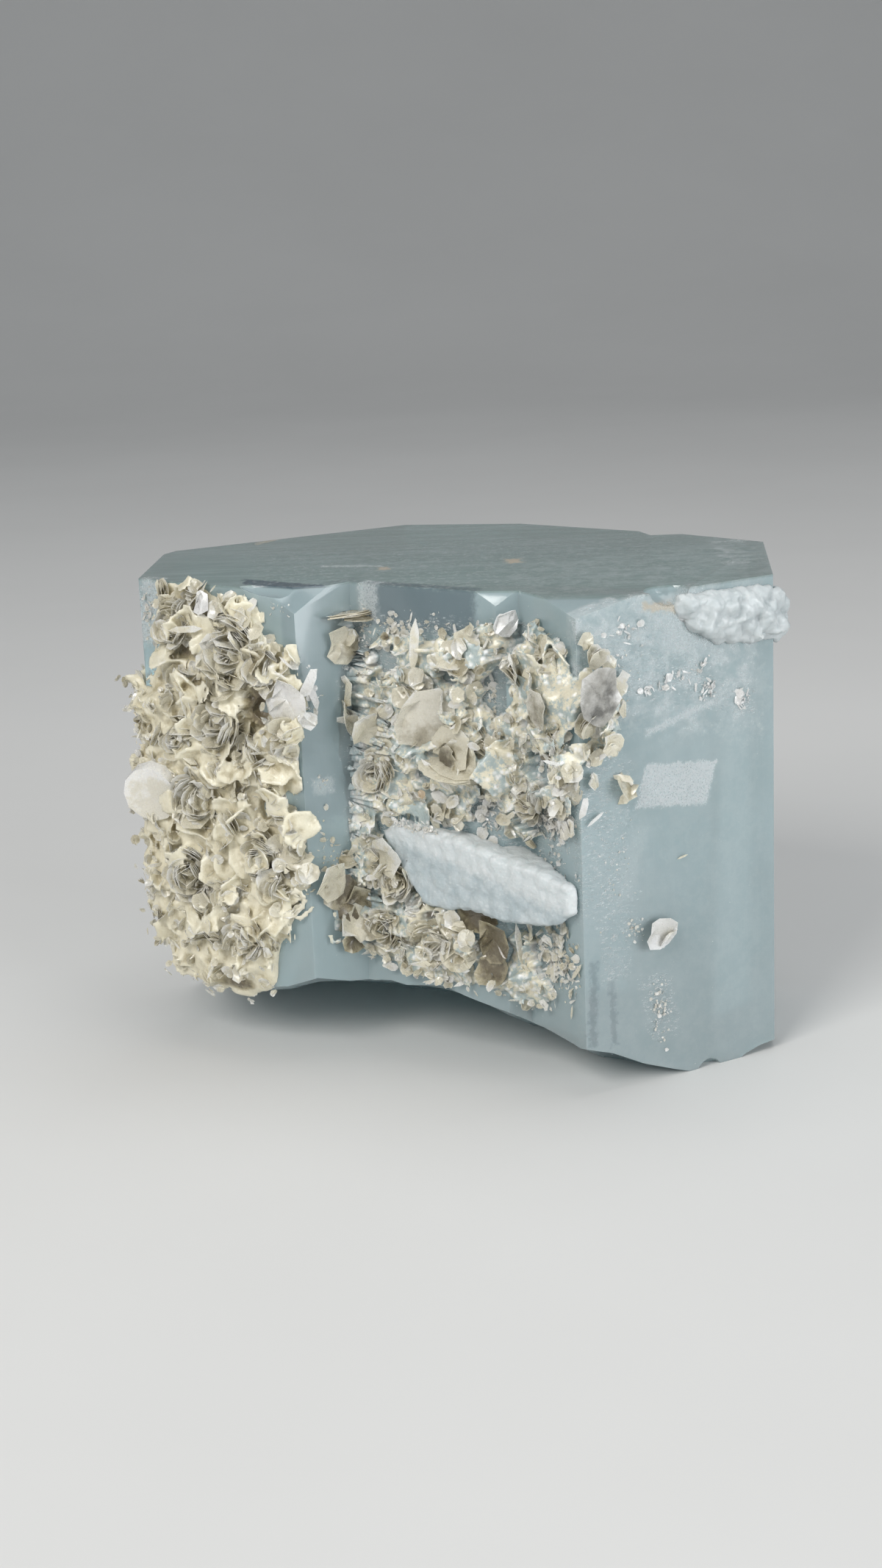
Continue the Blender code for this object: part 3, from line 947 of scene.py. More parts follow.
@dataclass(frozen=True)
class LeafPattern:
    """A muscovite leaf of unit half length that is modelled once and copied.

    Args:
        name: Its name.
        sides: Corners of its outline.
        width: Its width for a length of 2.
        ragged: How far its corners stray.
        bend: Bend along its length, in degrees.
        cup: Bend across its width, in degrees.
        thickness: Thickness of one sheet.
        seed: Seed of its outline.
        layers: How many sheets it has.
        fan: Angle between two sheets at their common root, in degrees.
    """

    name: str
    sides: int
    width: float
    ragged: float
    bend: float
    cup: float
    thickness: float
    seed: int
    layers: int = 1
    fan: float = 0.0

    INNER_RIM = 0.34
    SHEET_GAP = 1.6
    ROLL_SPREAD = 0.10
    SMALLEST_SHEET = 0.82

    def model(self) -> Leaf:
        """Model the leaf upright on its root, its face to the front.

        Returns:
            The leaf.
        """
        deselect_all()
        bpy.ops.mesh.primitive_circle_add(vertices=self.sides, radius=1.0, fill_type="NGON",
                                          location=UP, rotation=(math.pi / 2.0, 0.0, 0.0))
        leaf = bpy.context.object
        leaf.scale = (self.width / 2.0, 1.0, 1.0)
        bpy.ops.object.transform_apply(location=True, rotation=True, scale=True)
        bpy.ops.object.mode_set(mode="EDIT")
        bpy.ops.mesh.select_all(action="SELECT")
        if self.bend or self.cup:
            bpy.ops.mesh.inset(thickness=self.INNER_RIM)
        bpy.ops.mesh.poke()
        bpy.ops.mesh.select_all(action="SELECT")
        bpy.ops.transform.vertex_random(offset=self.ragged, seed=self.seed)
        bpy.ops.object.mode_set(mode="OBJECT")
        store(leaf.data, rim=np.arange(len(leaf.data.vertices)) < self.sides)
        for axis, angle in (("Z", self.cup), ("X", self.bend)):
            if angle:
                modify(leaf, "SIMPLE_DEFORM", deform_method="BEND", deform_axis=axis,
                       angle=math.radians(angle))
        modify(leaf, "SOLIDIFY", thickness=self.thickness, offset=0.0)
        modify(leaf, "TRIANGULATE", quad_method="FIXED")
        apply_modifiers(leaf)
        mesh = leaf.data
        sheet = Leaf(values_of(mesh.vertices, "co", 3),
                     np.array([tuple(face.vertices) for face in mesh.polygons], np.int64),
                     values_of(mesh.attributes["rim"].data, "value", kind=np.float32).ravel())
        bpy.data.objects.remove(leaf, do_unlink=True)
        bpy.data.meshes.remove(mesh)
        return self._layered(sheet)

    def _layered(self, sheet: Leaf) -> Leaf:
        """Copy one sheet into the whole leaf.

        Args:
            sheet: The sheet.

        Returns:
            The leaf, whose sheets fan out from their common root.
        """
        rng = np.random.default_rng(self.seed)
        sheets = []
        for layer in range(self.layers):
            tilt = math.radians(self.fan) * (layer - (self.layers - 1) / 2.0)
            roll = rng.normal(0.0, self.ROLL_SPREAD) if layer else 0.0
            turn = np.array(Matrix.Rotation(tilt, 3, "X") @ Matrix.Rotation(roll, 3, "Y"))
            size = rng.uniform(self.SMALLEST_SHEET, 1.0) if layer else 1.0
            lift = (0.0, self.SHEET_GAP * self.thickness * layer, 0.0)
            sheets.append(size * sheet.points @ turn.T + lift)
        faces = [sheet.faces + len(sheet.points) * layer for layer in range(self.layers)]
        return Leaf(np.concatenate(sheets), np.concatenate(faces),
                    np.tile(sheet.rim, self.layers))


# Columns: name, sides, width, ragged, bend, cup, thickness, seed, and for a book layers and fan.
LEAF_PATTERNS = (
    LeafPattern("petal", 9, 1.7, 0.22, 34, 30, 0.022, 3),
    LeafPattern("torn_petal", 11, 2.0, 0.3, 26, 26, 0.022, 14),
    LeafPattern("wide_petal", 10, 2.5, 0.26, 24, 40, 0.022, 8),
    LeafPattern("scale", 8, 2.0, 0.24, 16, 18, 0.025, 5),
    LeafPattern("jagged", 9, 1.6, 0.36, 10, 14, 0.025, 23),
    LeafPattern("torn", 11, 1.9, 0.38, 14, 18, 0.022, 41),
    LeafPattern("shard", 6, 0.8, 0.34, 0, 0, 0.03, 11),
    LeafPattern("plate", 12, 1.6, 0.22, 10, 12, 0.03, 2),
    LeafPattern("sliver", 6, 0.38, 0.11, 0, 0, 0.04, 9),
    LeafPattern("long_book", 8, 1.0, 0.1, 0, 0, 0.03, 4, 4, 1),
    LeafPattern("book", 9, 1.5, 0.18, 22, 14, 0.028, 51, 4, 6),
    LeafPattern("fan", 9, 1.9, 0.24, 30, 26, 0.026, 52, 4, 12),
    LeafPattern("ruff", 8, 1.3, 0.26, 46, 20, 0.028, 53, 3, 18),
    LeafPattern("bun", 12, 2.0, 0.05, 20, 30, 0.42, 6),
    LeafPattern("fold", 9, 1.9, 0.2, 36, 34, 0.15, 31),
    LeafPattern("wave", 11, 2.2, 0.28, -26, 22, 0.14, 32),
    LeafPattern("curl", 10, 1.5, 0.24, 52, 16, 0.16, 33),
    LeafPattern("flat", 10, 2.0, 0.3, 12, 12, 0.13, 34),
)


class Pose(NamedTuple):
    """How one leaf stands.

    Args:
        pattern: Name of the leaf.
        root: Point that it grows from, in mm.
        face: Direction that its hollow side faces.
        up: Direction from its root to its tip.
        size: Half its length, in mm.
    """

    pattern: str
    root: Vector
    face: Vector
    up: Vector
    size: float


def leaning(outward: Vector, radial: Vector, lean: float) -> tuple[Vector, Vector]:
    """Return the face and up directions of a leaf that leans from outward towards radial."""
    return (outward * math.sin(lean) - radial * math.cos(lean),
            outward * math.cos(lean) + radial * math.sin(lean))


def toned(tone: float, least: float = 0.1) -> float:
    """Keep a tone between its least and 1."""
    return float(np.clip(tone, least, 1.0))


class LeafHeap:
    """Collects placed leaves and joins them into one mesh."""

    TIP_LIGHT = 0.34
    LEVEL_TONE = 0.6
    SHARPEST = 50.0

    def __init__(self, patterns: dict[str, Leaf]) -> None:
        """Start an empty heap.

        Args:
            patterns: The modelled leaves by name.
        """
        self.patterns = patterns
        self.points: list[np.ndarray] = []
        self.faces: list[np.ndarray] = []
        self.values: dict[str, list[np.ndarray]] = {label: [] for label in LEAF_VALUES}
        self.count = 0

    def posed(self, pose: Pose) -> np.ndarray:
        """Put a leaf's points in their place.

        Args:
            pose: How the leaf stands.

        Returns:
            The points in metres.
        """
        tip = pose.up.normalized()
        front = (pose.face - tip * pose.face.dot(tip)).normalized()
        basis = np.array([front.cross(tip), front, tip]) * pose.size
        return (self.patterns[pose.pattern].points @ basis + np.array(pose.root)) * MM

    def place(self, pose: Pose, tone: float, warmth: float) -> None:
        """Add one leaf.

        Args:
            pose: How it stands.
            tone: Its lightness, from 0 to 1.
            warmth: Its warmth, from grey at 0 to rusty at 1.
        """
        shape = self.patterns[pose.pattern]
        placed = self.posed(pose)
        self.points.append(placed)
        self.faces.append(shape.faces + self.count)
        self.count += len(placed)
        # Painted light and shade: each leaf is lighter towards its tip and darker towards its root.
        reach = shape.points[:, 2] / 2.0
        tones = np.clip(tone + self.TIP_LIGHT * (reach - self.LEVEL_TONE), 0.0, 1.0)
        for label, values in zip(LEAF_VALUES, (tones, np.full(len(placed), warmth), shape.rim)):
            self.values[label].append(values.astype(np.float32))

    def joined(self, name: str) -> Obj:
        """Join the leaves.

        Args:
            name: Name of the piece.

        Returns:
            The new object.
        """
        mesh = bpy.data.meshes.new(name)
        points = np.concatenate(self.points)
        faces = np.concatenate(self.faces)
        mesh.vertices.add(len(points))
        mesh.vertices.foreach_set("co", points.astype(np.float32).ravel())
        mesh.loops.add(faces.size)
        mesh.loops.foreach_set("vertex_index", faces.astype(np.int32).ravel())
        mesh.polygons.add(len(faces))
        mesh.polygons.foreach_set("loop_start", np.arange(0, faces.size, 3, dtype=np.int32))
        mesh.update(calc_edges=True)
        store(mesh, **{label: np.concatenate(values) for label, values in self.values.items()})
        mesh.validate()
        piece = new_object(name, mesh)
        shade_smooth(piece, self.SHARPEST)
        return piece


@dataclass(frozen=True)
class Feature:
    """One leaf that stands in its own place.

    Args:
        pattern: Name of the leaf.
        s: Place of its middle along the front outline, in mm.
        z: Height of its middle, in mm.
        out: Distance of its middle off the face, in mm.
        size: Half its length, in mm.
        tone: Its lightness.
        warmth: Its warmth.
        roll: Turn of its length from upright in the face's plane, in degrees.
        turn: Turn of its face to the right, in degrees.
        lean: Turn of its face upwards, in degrees.
    """

    pattern: str
    s: float
    z: float
    out: float
    size: float
    tone: float
    warmth: float
    roll: float = 0.0
    turn: float = 0.0
    lean: float = 0.0

    def add_to(self, heap: LeafHeap) -> None:
        """Place the leaf in a heap.

        Args:
            heap: Where the leaf goes.
        """
        along, outward = FRONT.axes(self.s)
        turned = Matrix.Rotation(math.radians(self.turn), 3, UP)
        face, side = turned @ outward, turned @ along
        tilted = Matrix.Rotation(-math.radians(self.lean), 3, side)
        face, up = tilted @ face, tilted @ UP
        up = Matrix.Rotation(math.radians(self.roll), 3, face) @ up
        root = FRONT.point(self.s, self.z, self.out) - up * self.size
        heap.place(Pose(self.pattern, root, face, up, self.size), self.tone, self.warmth)


@dataclass(frozen=True)
class Rosette:
    """Leaves nested round one centre, as in an opening bud.

    Args:
        s: Place of its middle along the front outline, in mm.
        z: Height of its middle, in mm.
        out: Distance of its root off the face, in mm.
        radius: Its radius, in mm.
        tone: Lightness of its leaves.
        warmth: Their warmth.
        seed: Seed of its random choices.
        rings: How many rings of leaves it has.
        missing: Share of its leaves that are missing.
        leans: Lean of the innermost leaves and how much more the outermost have, in degrees.
        sizes: Least and most half length of its leaves, for each mm of radius.
        patterns: Names of its leaves.
    """

    s: float
    z: float
    out: float
    radius: float
    tone: float
    warmth: float
    seed: int
    rings: int = 4
    missing: float = 0.2
    leans: tuple[float, float] = (18.0, 56.0)
    sizes: tuple[float, float] = (0.26, 0.52)
    patterns: tuple[str, ...] = ("petal", "torn_petal", "book", "jagged", "fan")

    FIRST_RING = 4
    MORE_IN_NEXT = 3
    RING_TURN = 40.0
    TURN_SPREAD = 22.0
    LEAN_SPREAD = 0.22
    TONE_SPREAD = 0.1

    def add_to(self, heap: LeafHeap) -> None:
        """Place the rosette's leaves in a heap.

        Args:
            heap: Where the leaves go.
        """
        rng = np.random.default_rng(self.seed)
        along, outward = FRONT.axes(self.s)
        for ring in range(self.rings):
            spread = (ring + 0.4) / self.rings
            leaves = self.FIRST_RING + self.MORE_IN_NEXT * ring
            for turn in np.arange(0.0, 360.0, 360.0 / leaves):
                if rng.random() < self.missing:
                    continue
                angle = math.radians(turn + self.RING_TURN * ring
                                     + rng.normal(0.0, self.TURN_SPREAD))
                radial = along * math.cos(angle) + UP * math.sin(angle)
                lean = math.radians(self.leans[0] + self.leans[1] * spread)
                face, up = leaning(outward, radial, lean + rng.normal(0.0, self.LEAN_SPREAD))
                size = self.radius * rng.uniform(*self.sizes)
                root = FRONT.point(self.s, self.z, self.out) + radial * self.radius * spread * 0.5
                pattern = str(rng.choice(self.patterns))
                heap.place(Pose(pattern, root, face, up, size),
                           toned(self.tone + rng.normal(0.0, self.TONE_SPREAD)), self.warmth)


@dataclass(frozen=True)
class DustField:
    """A field of tiny flakes that lie on a face.

    Args:
        s: Place of its middle along the front outline, in mm.
        z: Height of its middle, in mm.
        half_width: Half its width, in mm.
        half_height: Half its height, in mm.
        count: How many flakes it has.
        sizes: Half lengths of its flakes, in mm.
        tone: Their lightness.
        warmth: Their warmth.
        slant: Rise of the field for each mm along.
        out: Height of what the field lies on, off the face, in mm.
        tilt: Spread of the flakes' turns off the face, in degrees.
        patterns: Names of its flakes.
    """

    s: float
    z: float
    half_width: float
    half_height: float
    count: int
    sizes: tuple[float, float] = (0.06, 0.2)
    tone: float = 0.9
    warmth: float = 0.2
    slant: float = 0.0
    out: float = 0.0
    tilt: float = 22.0
    patterns: tuple[str, ...] = ("shard", "jagged", "scale", "sliver")

    FEW_LARGE = 2.5
    LEAST_OUT = 0.02
    STANDING = 0.2
    TONE_SPREAD = 0.12

    def flakes(self, rng: np.random.Generator) -> Iterator[Feature]:
        """Scatter the field's flakes.

        Args:
            rng: Source of the random choices.

        Yields:
            The flakes that fall on the field's own side of the prism.
        """
        for _ in range(self.count):
            across, rise = rng.normal(0.0, 0.5, 2)
            s = self.s + across * self.half_width
            z = self.z + rise * self.half_height + across * self.half_width * self.slant
            size = self.sizes[0] + (self.sizes[1] - self.sizes[0]) * rng.random() ** self.FEW_LARGE
            pattern = str(rng.choice(self.patterns))
            roll = rng.uniform(0.0, 360.0)
            turn, lean = rng.normal(0.0, self.tilt), rng.normal(0.0, self.tilt)
            tone = toned(self.tone + rng.normal(0.0, self.TONE_SPREAD))
            out = self.out + self.LEAST_OUT + self.STANDING * size
            if FRONT.on_side(s, self.s) and z < FRONT.height - FRONT.margin:
                yield Feature(pattern, s, z, out, size, tone, self.warmth, roll, turn, lean)


@dataclass(frozen=True)
class Oval:
    """An oval on the prism's front.

    Args:
        s: Place of its middle along the front outline, in mm.
        z: Height of its middle, in mm.
        half_width: Half its width, in mm.
        half_height: Half its height, in mm.
    """

    s: float
    z: float
    half_width: float
    half_height: float

    @cached_property
    def axes(self) -> tuple[np.ndarray, np.ndarray, np.ndarray]:
        """Its middle, the direction along its face and the direction out of it."""
        return tuple(np.array(part) for part in (FRONT.point(self.s, self.z),
                                                 *FRONT.axes(self.s)))

    def measure(self, points: np.ndarray) -> tuple[np.ndarray, np.ndarray]:
        """Measure where points are against the oval.

        Args:
            points: The points in mm.

        Returns:
            For each point its reach, which is 1 on the oval's edge, and its distance off the face.
        """
        middle, along, outward = self.axes
        offset = points - middle
        reach = (offset @ along / self.half_width) ** 2 + (offset[:, 2] / self.half_height) ** 2
        return reach, offset @ outward


@dataclass(frozen=True)
class LeafCoat:
    """One coat of leaves on a crust.

    Args:
        habit: How its leaves stand.
        patterns: Names of its leaves.
        count: Most leaves in it.
        spacing: Least distance between leaves, in mm.
        sizes: Half lengths of its leaves, in mm.
        slopes: Least and most lean of its leaves off the prism's normal, in degrees.
        tones: Middle and spread of their lightness.
        warmths: Least and most warmth.
        seed: Seed of its random choices.
    """

    habit: Habit
    patterns: tuple[str, ...]
    count: int
    spacing: float
    sizes: tuple[float, float]
    slopes: tuple[float, float]
    tones: tuple[float, float]
    warmths: tuple[float, float]
    seed: int


@dataclass(frozen=True)
class MuscoviteCrust:
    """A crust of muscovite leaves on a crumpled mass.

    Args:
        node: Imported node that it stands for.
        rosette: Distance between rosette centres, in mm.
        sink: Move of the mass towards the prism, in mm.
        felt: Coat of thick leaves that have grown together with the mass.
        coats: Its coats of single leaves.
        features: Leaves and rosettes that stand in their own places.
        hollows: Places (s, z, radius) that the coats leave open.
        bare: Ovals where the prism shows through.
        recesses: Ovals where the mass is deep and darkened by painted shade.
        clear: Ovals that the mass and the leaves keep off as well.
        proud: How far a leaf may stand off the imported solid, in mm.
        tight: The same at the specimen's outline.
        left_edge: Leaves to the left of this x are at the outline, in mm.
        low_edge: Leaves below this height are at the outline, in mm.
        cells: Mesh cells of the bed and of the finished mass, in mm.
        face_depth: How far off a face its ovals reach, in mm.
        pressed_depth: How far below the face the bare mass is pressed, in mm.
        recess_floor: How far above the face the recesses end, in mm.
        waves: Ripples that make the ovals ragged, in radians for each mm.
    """

    node: str
    rosette: float
    sink: tuple[float, float, float]
    felt: LeafCoat
    coats: tuple[LeafCoat, ...]
    features: tuple[Feature | Rosette, ...]
    hollows: tuple[tuple[float, float, float], ...]
    bare: tuple[Oval, ...]
    recesses: tuple[Oval, ...]
    clear: tuple[Oval, ...] = ()
    proud: float = 0.8
    tight: float = 0.25
    left_edge: float = -26.0
    low_edge: float = 11.0
    cells: tuple[float, float] = (0.42, 0.215)
    face_depth: float = 7.0
    pressed_depth: float = 0.45
    recess_floor: float = 0.7
    waves: tuple[tuple[float, float, float], ...] = ((2.9, 1.7, 3.4), (-4.3, 2.2, 5.1))

    LUMP_SIZE, LUMP_HEIGHT, LUMP_LEVEL, LUMP_DEPTH = 1.3, 0.8, 0.55, 3
    OVAL_EDGE, OVAL_SOFT, OVAL_RAGGED = 1.2, 0.4, 0.25
    LEVEL_TONE, RELIEF_TONE = 0.56, 0.6
    LEVEL_WARMTH, RELIEF_WARMTH = 0.60, 0.3
    RELIEF_LIMITS = (-0.6, 0.5)
    RIM_RELIEF = 0.3
    RECESS_DARK, RECESS_REACH = 0.85, 1.5
    SPOTS_FOR_A_LEAF = 9
    LEAST_HEIGHT, LEAST_FACING = 0.55, -0.05
    LARGE_LEAF, LEAF_HOLE = 1.7, 0.8
    COVERED_REACH = 0.8
    HUB_TONES = 0.12
    HUB_SPREAD, TILT_SPREAD, TWIST_SPREAD = 0.6, 0.14, 0.4
    FEW_UPRIGHT, FEW_LARGE = 1.6, 1.7
    ROOT_REACH, TIP_RISE, LEAST_TILT = 1.75, 0.2, 0.05
    TRIES, SHRINK = 4, 0.75
    OUTLINE_FACING = -0.9

    def build(self, patterns: dict[str, Leaf], leaf_finish: Material,
              bed_finish: Material) -> None:
        """Build the mass and the leaves.

        Args:
            patterns: The modelled leaves by name.
            leaf_finish: Material of the leaves.
            bed_finish: Material of the mass.
        """
        felt = LeafHeap(patterns)
        self._grow(felt, self.felt)
        finish_piece(self._mass(felt), bed_finish, "muscovite", self.node)
        heap = LeafHeap(patterns)
        for coat in self.coats:
            self._grow(heap, coat)
        for feature in self.features:
            feature.add_to(heap)
        finish_piece(heap.joined(self.node + "_leaves"), leaf_finish, "muscovite", self.node)

    def _mass(self, felt: LeafHeap) -> Obj:
        """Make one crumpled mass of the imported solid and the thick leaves.

        Args:
            felt: The thick leaves.

        Returns:
            The mass, with a tone, warmth and rim at each point.
        """
        mass = merged_copy(self.node, self.node + "_bed")
        even_out(mass, self.cells[0], 5)
        roughen(mass, "CLOUDS", self.LUMP_SIZE, self.LUMP_HEIGHT, self.LUMP_LEVEL,
                noise_depth=self.LUMP_DEPTH)
        apply_modifiers(mass)
        mass.data.transform(Matrix.Translation(Vector(self.sink) * MM))
        activate(mass, felt.joined(self.node + "_felt"))
        bpy.ops.object.join()
        even_out(mass, self.cells[1], 1, 0.5)
        apply_modifiers(mass)
        mesh = mass.data
        pressed = self._press(mesh)
        for label in LEAF_VALUES:
            if label in mesh.attributes:
                mesh.attributes.remove(mesh.attributes[label])
        # Painted light and shade from the relief: hollows get a darker tone, ridges a lighter tone
        # and a rim value that the material lightens further.
        relief = self._relief(mesh)
        near = np.clip(relief, *self.RELIEF_LIMITS)
        tones = np.clip(self.LEVEL_TONE + self.RELIEF_TONE * near, 0.0, 1.0)
        warmths = np.clip(self.LEVEL_WARMTH - self.RELIEF_WARMTH * near, 0.0, 1.0)
        store(mesh, tone=tones * self._depth_shade(mesh), warmth=warmths - pressed,
              rim=np.clip(relief - self.RIM_RELIEF, 0.0, 1.0))
        activate(mass)
        bpy.ops.object.shade_smooth()
        return mass

    def _press(self, mesh: Mesh) -> np.ndarray:
        """Press the mass into the prism in the bare ovals, and down in the recesses.

        Args:
            mesh: The mass.

        Returns:
            For each point, how far it is pressed in, from 0 to 1.
        """
        points = points_of(mesh)
        ragged = self.OVAL_RAGGED * sum(np.sin(points @ wave) for wave in self.waves)
        pressed = np.zeros(len(points))
        ovals = [(oval, self.pressed_depth, 1.0) for oval in (*self.bare, *self.clear)]
        ovals += [(oval, -self.recess_floor, 0.0) for oval in self.recesses]
        for oval, depth, seen in ovals:
            reach, off = oval.measure(points)
            weight = np.clip((self.OVAL_EDGE + ragged - reach) / self.OVAL_SOFT, 0.0, 1.0)
            weight[np.abs(off) > self.face_depth] = 0.0
            drop = weight * np.maximum(off + depth, 0.0)
            points -= drop[:, None] * oval.axes[2]
            pressed = np.maximum(pressed, weight * seen)
        mesh.vertices.foreach_set("co", (points * MM).astype(np.float32).ravel())
        mesh.update()
        return pressed

    def _depth_shade(self, mesh: Mesh) -> np.ndarray:
        """Find the painted shade that darkens the mass in the recesses.

        Args:
            mesh: The mass.

        Returns:
            A factor for each point's tone.
        """
        points = points_of(mesh)
        shade = np.ones(len(points))
        for oval in self.recesses:
            near = np.clip(self.RECESS_REACH - oval.measure(points)[0], 0.0, 1.0)
            shade *= 1.0 - self.RECESS_DARK * near
        return shade

    @staticmethod
    def _relief(mesh: Mesh, passes: int = 24) -> np.ndarray:
        """Find how far each point stands out of the mass round it.

        Args:
            mesh: The mass.
            passes: How often the points are averaged with their neighbours.

        Returns:
            The distances in mm.
        """
        points = points_of(mesh)
        count = len(points)
        ends = values_of(mesh.edges, "vertices", 2, np.int64)
        degree = np.maximum(np.bincount(ends.ravel(), minlength=count), 1)[:, None]
        soft = points.copy()
        for _ in range(passes):
            total = np.stack([np.bincount(ends[:, 0], soft[ends[:, 1], axis], count)
                              + np.bincount(ends[:, 1], soft[ends[:, 0], axis], count)
                              for axis in range(3)], 1)
            soft = 0.3 * soft + 0.7 * total / degree
        return np.sum((points - soft) * values_of(mesh.vertices, "normal", 3), 1)

    def _scattered(self, count: int,
                   rng: np.random.Generator) -> Iterator[tuple[Vector, Vector]]:
        """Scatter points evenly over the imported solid.

        Args:
            count: How many.
            rng: Source of the random choices.

        Yields:
            Each point in mm and the solid's normal there.
        """
        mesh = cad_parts[self.node].data
        corners = np.array([[mesh.vertices[i].co for i in face.vertices[:3]]
                            for face in mesh.polygons]) / MM
        cross = np.cross(corners[:, 1] - corners[:, 0], corners[:, 2] - corners[:, 0])
        area = np.linalg.norm(cross, axis=1)
        picks = rng.choice(len(area), count, p=area / area.sum())
        a, b = rng.random((2, len(picks), 1))
        fold = (a + b) > 1.0
        a, b = np.where(fold, 1.0 - a, a), np.where(fold, 1.0 - b, b)
        first, second, third = (corners[picks, corner] for corner in range(3))
        spots = first + a * (second - first) + b * (third - first)
        yield from zip(spots, cross[picks] / area[picks, None])

    def _sites(self, coat: LeafCoat,
               rng: np.random.Generator) -> tuple[np.ndarray, np.ndarray, np.ndarray]:
        """Choose where a coat's leaves grow.

        Args:
            coat: The coat.
            rng: Source of the random choices.

        Returns:
            The places in mm, the prism's outward normal at each, and the crust's height there.
        """
        prism = solid_tree(PRISM)
        holes = [(FRONT.point(s, z), radius) for s, z, radius in self.hollows]
        holes += [(FRONT.point(leaf.s, leaf.z), self.LEAF_HOLE * leaf.size)
                  for leaf in self.features
                  if isinstance(leaf, Feature) and leaf.size > self.LARGE_LEAF]
        kept, normals, heights = [], [], []
        for spot, normal in self._scattered(coat.count * self.SPOTS_FOR_A_LEAF, rng):
            if len(kept) == coat.count:
                break
            if kept and np.min(np.sum((np.array(kept) - spot) ** 2, 1)) < coat.spacing ** 2:
                continue
            near, out, _, _ = prism.find_nearest(Vector(spot) * MM)
            height = (Vector(spot) - near / MM).length
            if height < self.LEAST_HEIGHT or Vector(normal).dot(out) < self.LEAST_FACING:
                continue
            foot = near / MM
            if any((foot - hole).length < radius for hole, radius in holes):
                continue
            if any(oval.measure(np.array([foot]))[0][0] < 1.0
                   for oval in (*self.bare, *self.recesses)):
                continue
            kept.append(spot)
            normals.append(out)
            heights.append(height)
        return np.array(kept), np.array(normals), np.array(heights)

    def _fits(self, skin: BVHTree, points: np.ndarray, proud: float) -> bool:
        """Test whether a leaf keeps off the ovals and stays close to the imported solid.

        Args:
            skin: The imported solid's faces.
            points: The leaf's points in metres.
            proud: How far it may stand off the solid, in mm.

        Returns:
            Whether it fits.
        """
        for oval in (*self.bare, *self.clear, *self.recesses):
            reach, off = oval.measure(points[::3] / MM)
            if np.any((reach < self.COVERED_REACH) & (np.abs(off) < self.face_depth)):
                return False
        for point in points[::4]:
            near, out, _, _ = skin.find_nearest(Vector(point))
            if (Vector(point) - near).dot(out) > proud * MM:
                return False
        return True

    def _hubs(self, spots: np.ndarray) -> np.ndarray:
        """Choose the rosettes' centres among the places of the leaves.

        Args:
            spots: The places in mm.

        Returns:
            The centres in mm.
        """
        centres = [spots[0]]
        for spot in spots:
            if np.min(np.sum((np.array(centres) - spot) ** 2, 1)) > self.rosette ** 2:
                centres.append(spot)
        return np.array(centres)

    def _grow(self, heap: LeafHeap, coat: LeafCoat) -> None:
        """Grow one coat of leaves round the crust's rosettes.

        Args:
            heap: Where the leaves go.
            coat: The coat.
        """
        rng = np.random.default_rng(coat.seed)
        spots, normals, heights = self._sites(coat, rng)
        hubs = self._hubs(spots)
        hub_tones = rng.uniform(-self.HUB_TONES, self.HUB_TONES, len(hubs))
        skin = solid_tree(self.node)
        (smallest, largest), (upright, flattest) = coat.sizes, coat.slopes
        grown = 0
        for spot, out, height in zip(spots, normals, heights):
            hub = int(np.argmin(np.sum((hubs - spot) ** 2, 1)))
            normal = Vector(out)
            away = Vector(spot - hubs[hub]) + Vector(rng.normal(0.0, self.HUB_SPREAD, 3))
            share = min(1.0, away.length / self.rosette)
            if coat.habit is Habit.SCALES:
                away = Vector(rng.normal(0.0, 1.0, 3))
                share = 1.0 - rng.random() ** self.FEW_UPRIGHT
            radial = (away - normal * away.dot(normal)).normalized()
            size = smallest + (largest - smallest) * rng.random() ** self.FEW_LARGE
            slope = math.radians(upright + (flattest - upright) * share)
            tilt = slope + rng.normal(0.0, self.TILT_SPREAD)
            twist = Matrix.Rotation(rng.normal(0.0, self.TWIST_SPREAD), 3, normal)
            pattern = str(rng.choice(coat.patterns))
            tone = toned(coat.tones[0] + hub_tones[hub] + rng.normal(0.0, coat.tones[1]), 0.05)
            warmth = float(rng.uniform(*coat.warmths))
            outline = (out[0] < self.OUTLINE_FACING or spot[2] < self.low_edge
                       or spot[0] < self.left_edge)
            proud = self.tight if outline else self.proud
            for _ in range(self.TRIES):
                reach = self.ROOT_REACH * size
                rise = min(math.cos(tilt), (height + self.TIP_RISE) / reach)
                lean = math.acos(max(self.LEAST_TILT, rise))
                face, up = leaning(normal, radial, lean)
                up = twist @ up
                pose = Pose(pattern, Vector(spot) - up * reach, twist @ face, up, size)
                if self._fits(skin, heap.posed(pose), proud):
                    heap.place(pose, tone, warmth)
                    grown += 1
                    break
                size *= self.SHRINK
        LOG.info("%s: %d leaves in %d rosettes", self.node, grown, len(hubs))


@dataclass(frozen=True)
class LooseFlakes:
    """Single flakes on the bare faces.

    Args:
        name: Name of the piece.
        features: The flakes.
        nodes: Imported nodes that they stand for.
    """

    name: str
    features: tuple[Feature, ...]
    nodes: tuple[str, ...] = ()

    def build(self, patterns: dict[str, Leaf], finish: Material) -> None:
        """Build the flakes.

        Args:
            patterns: The modelled leaves by name.
            finish: Their material.
        """
        heap = LeafHeap(patterns)
        for feature in self.features:
            feature.add_to(heap)
        finish_piece(heap.joined(self.name), finish, "muscovite", *self.nodes)


# The other minerals


@dataclass(frozen=True)
class BerylPrism:
    """The prism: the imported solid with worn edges.

    Args:
        edge: Width of its worn edges, in mm.
        sharpest: Least angle of an edge that is worn, in degrees.
    """

    edge: float = 0.09
    sharpest: float = 22.0

    def build(self, finish: Material) -> None:
        """Build the prism.

        Args:
            finish: Its material.
        """
        prism = merged_copy(PRISM, "beryl_prism")
        modify(prism, "BEVEL", width=self.edge * MM, segments=2, limit_method="ANGLE",
               angle_limit=math.radians(self.sharpest))
        apply_modifiers(prism)
        shade_smooth(prism, self.sharpest)
        finish_piece(prism, finish, "aquamarine", PRISM)


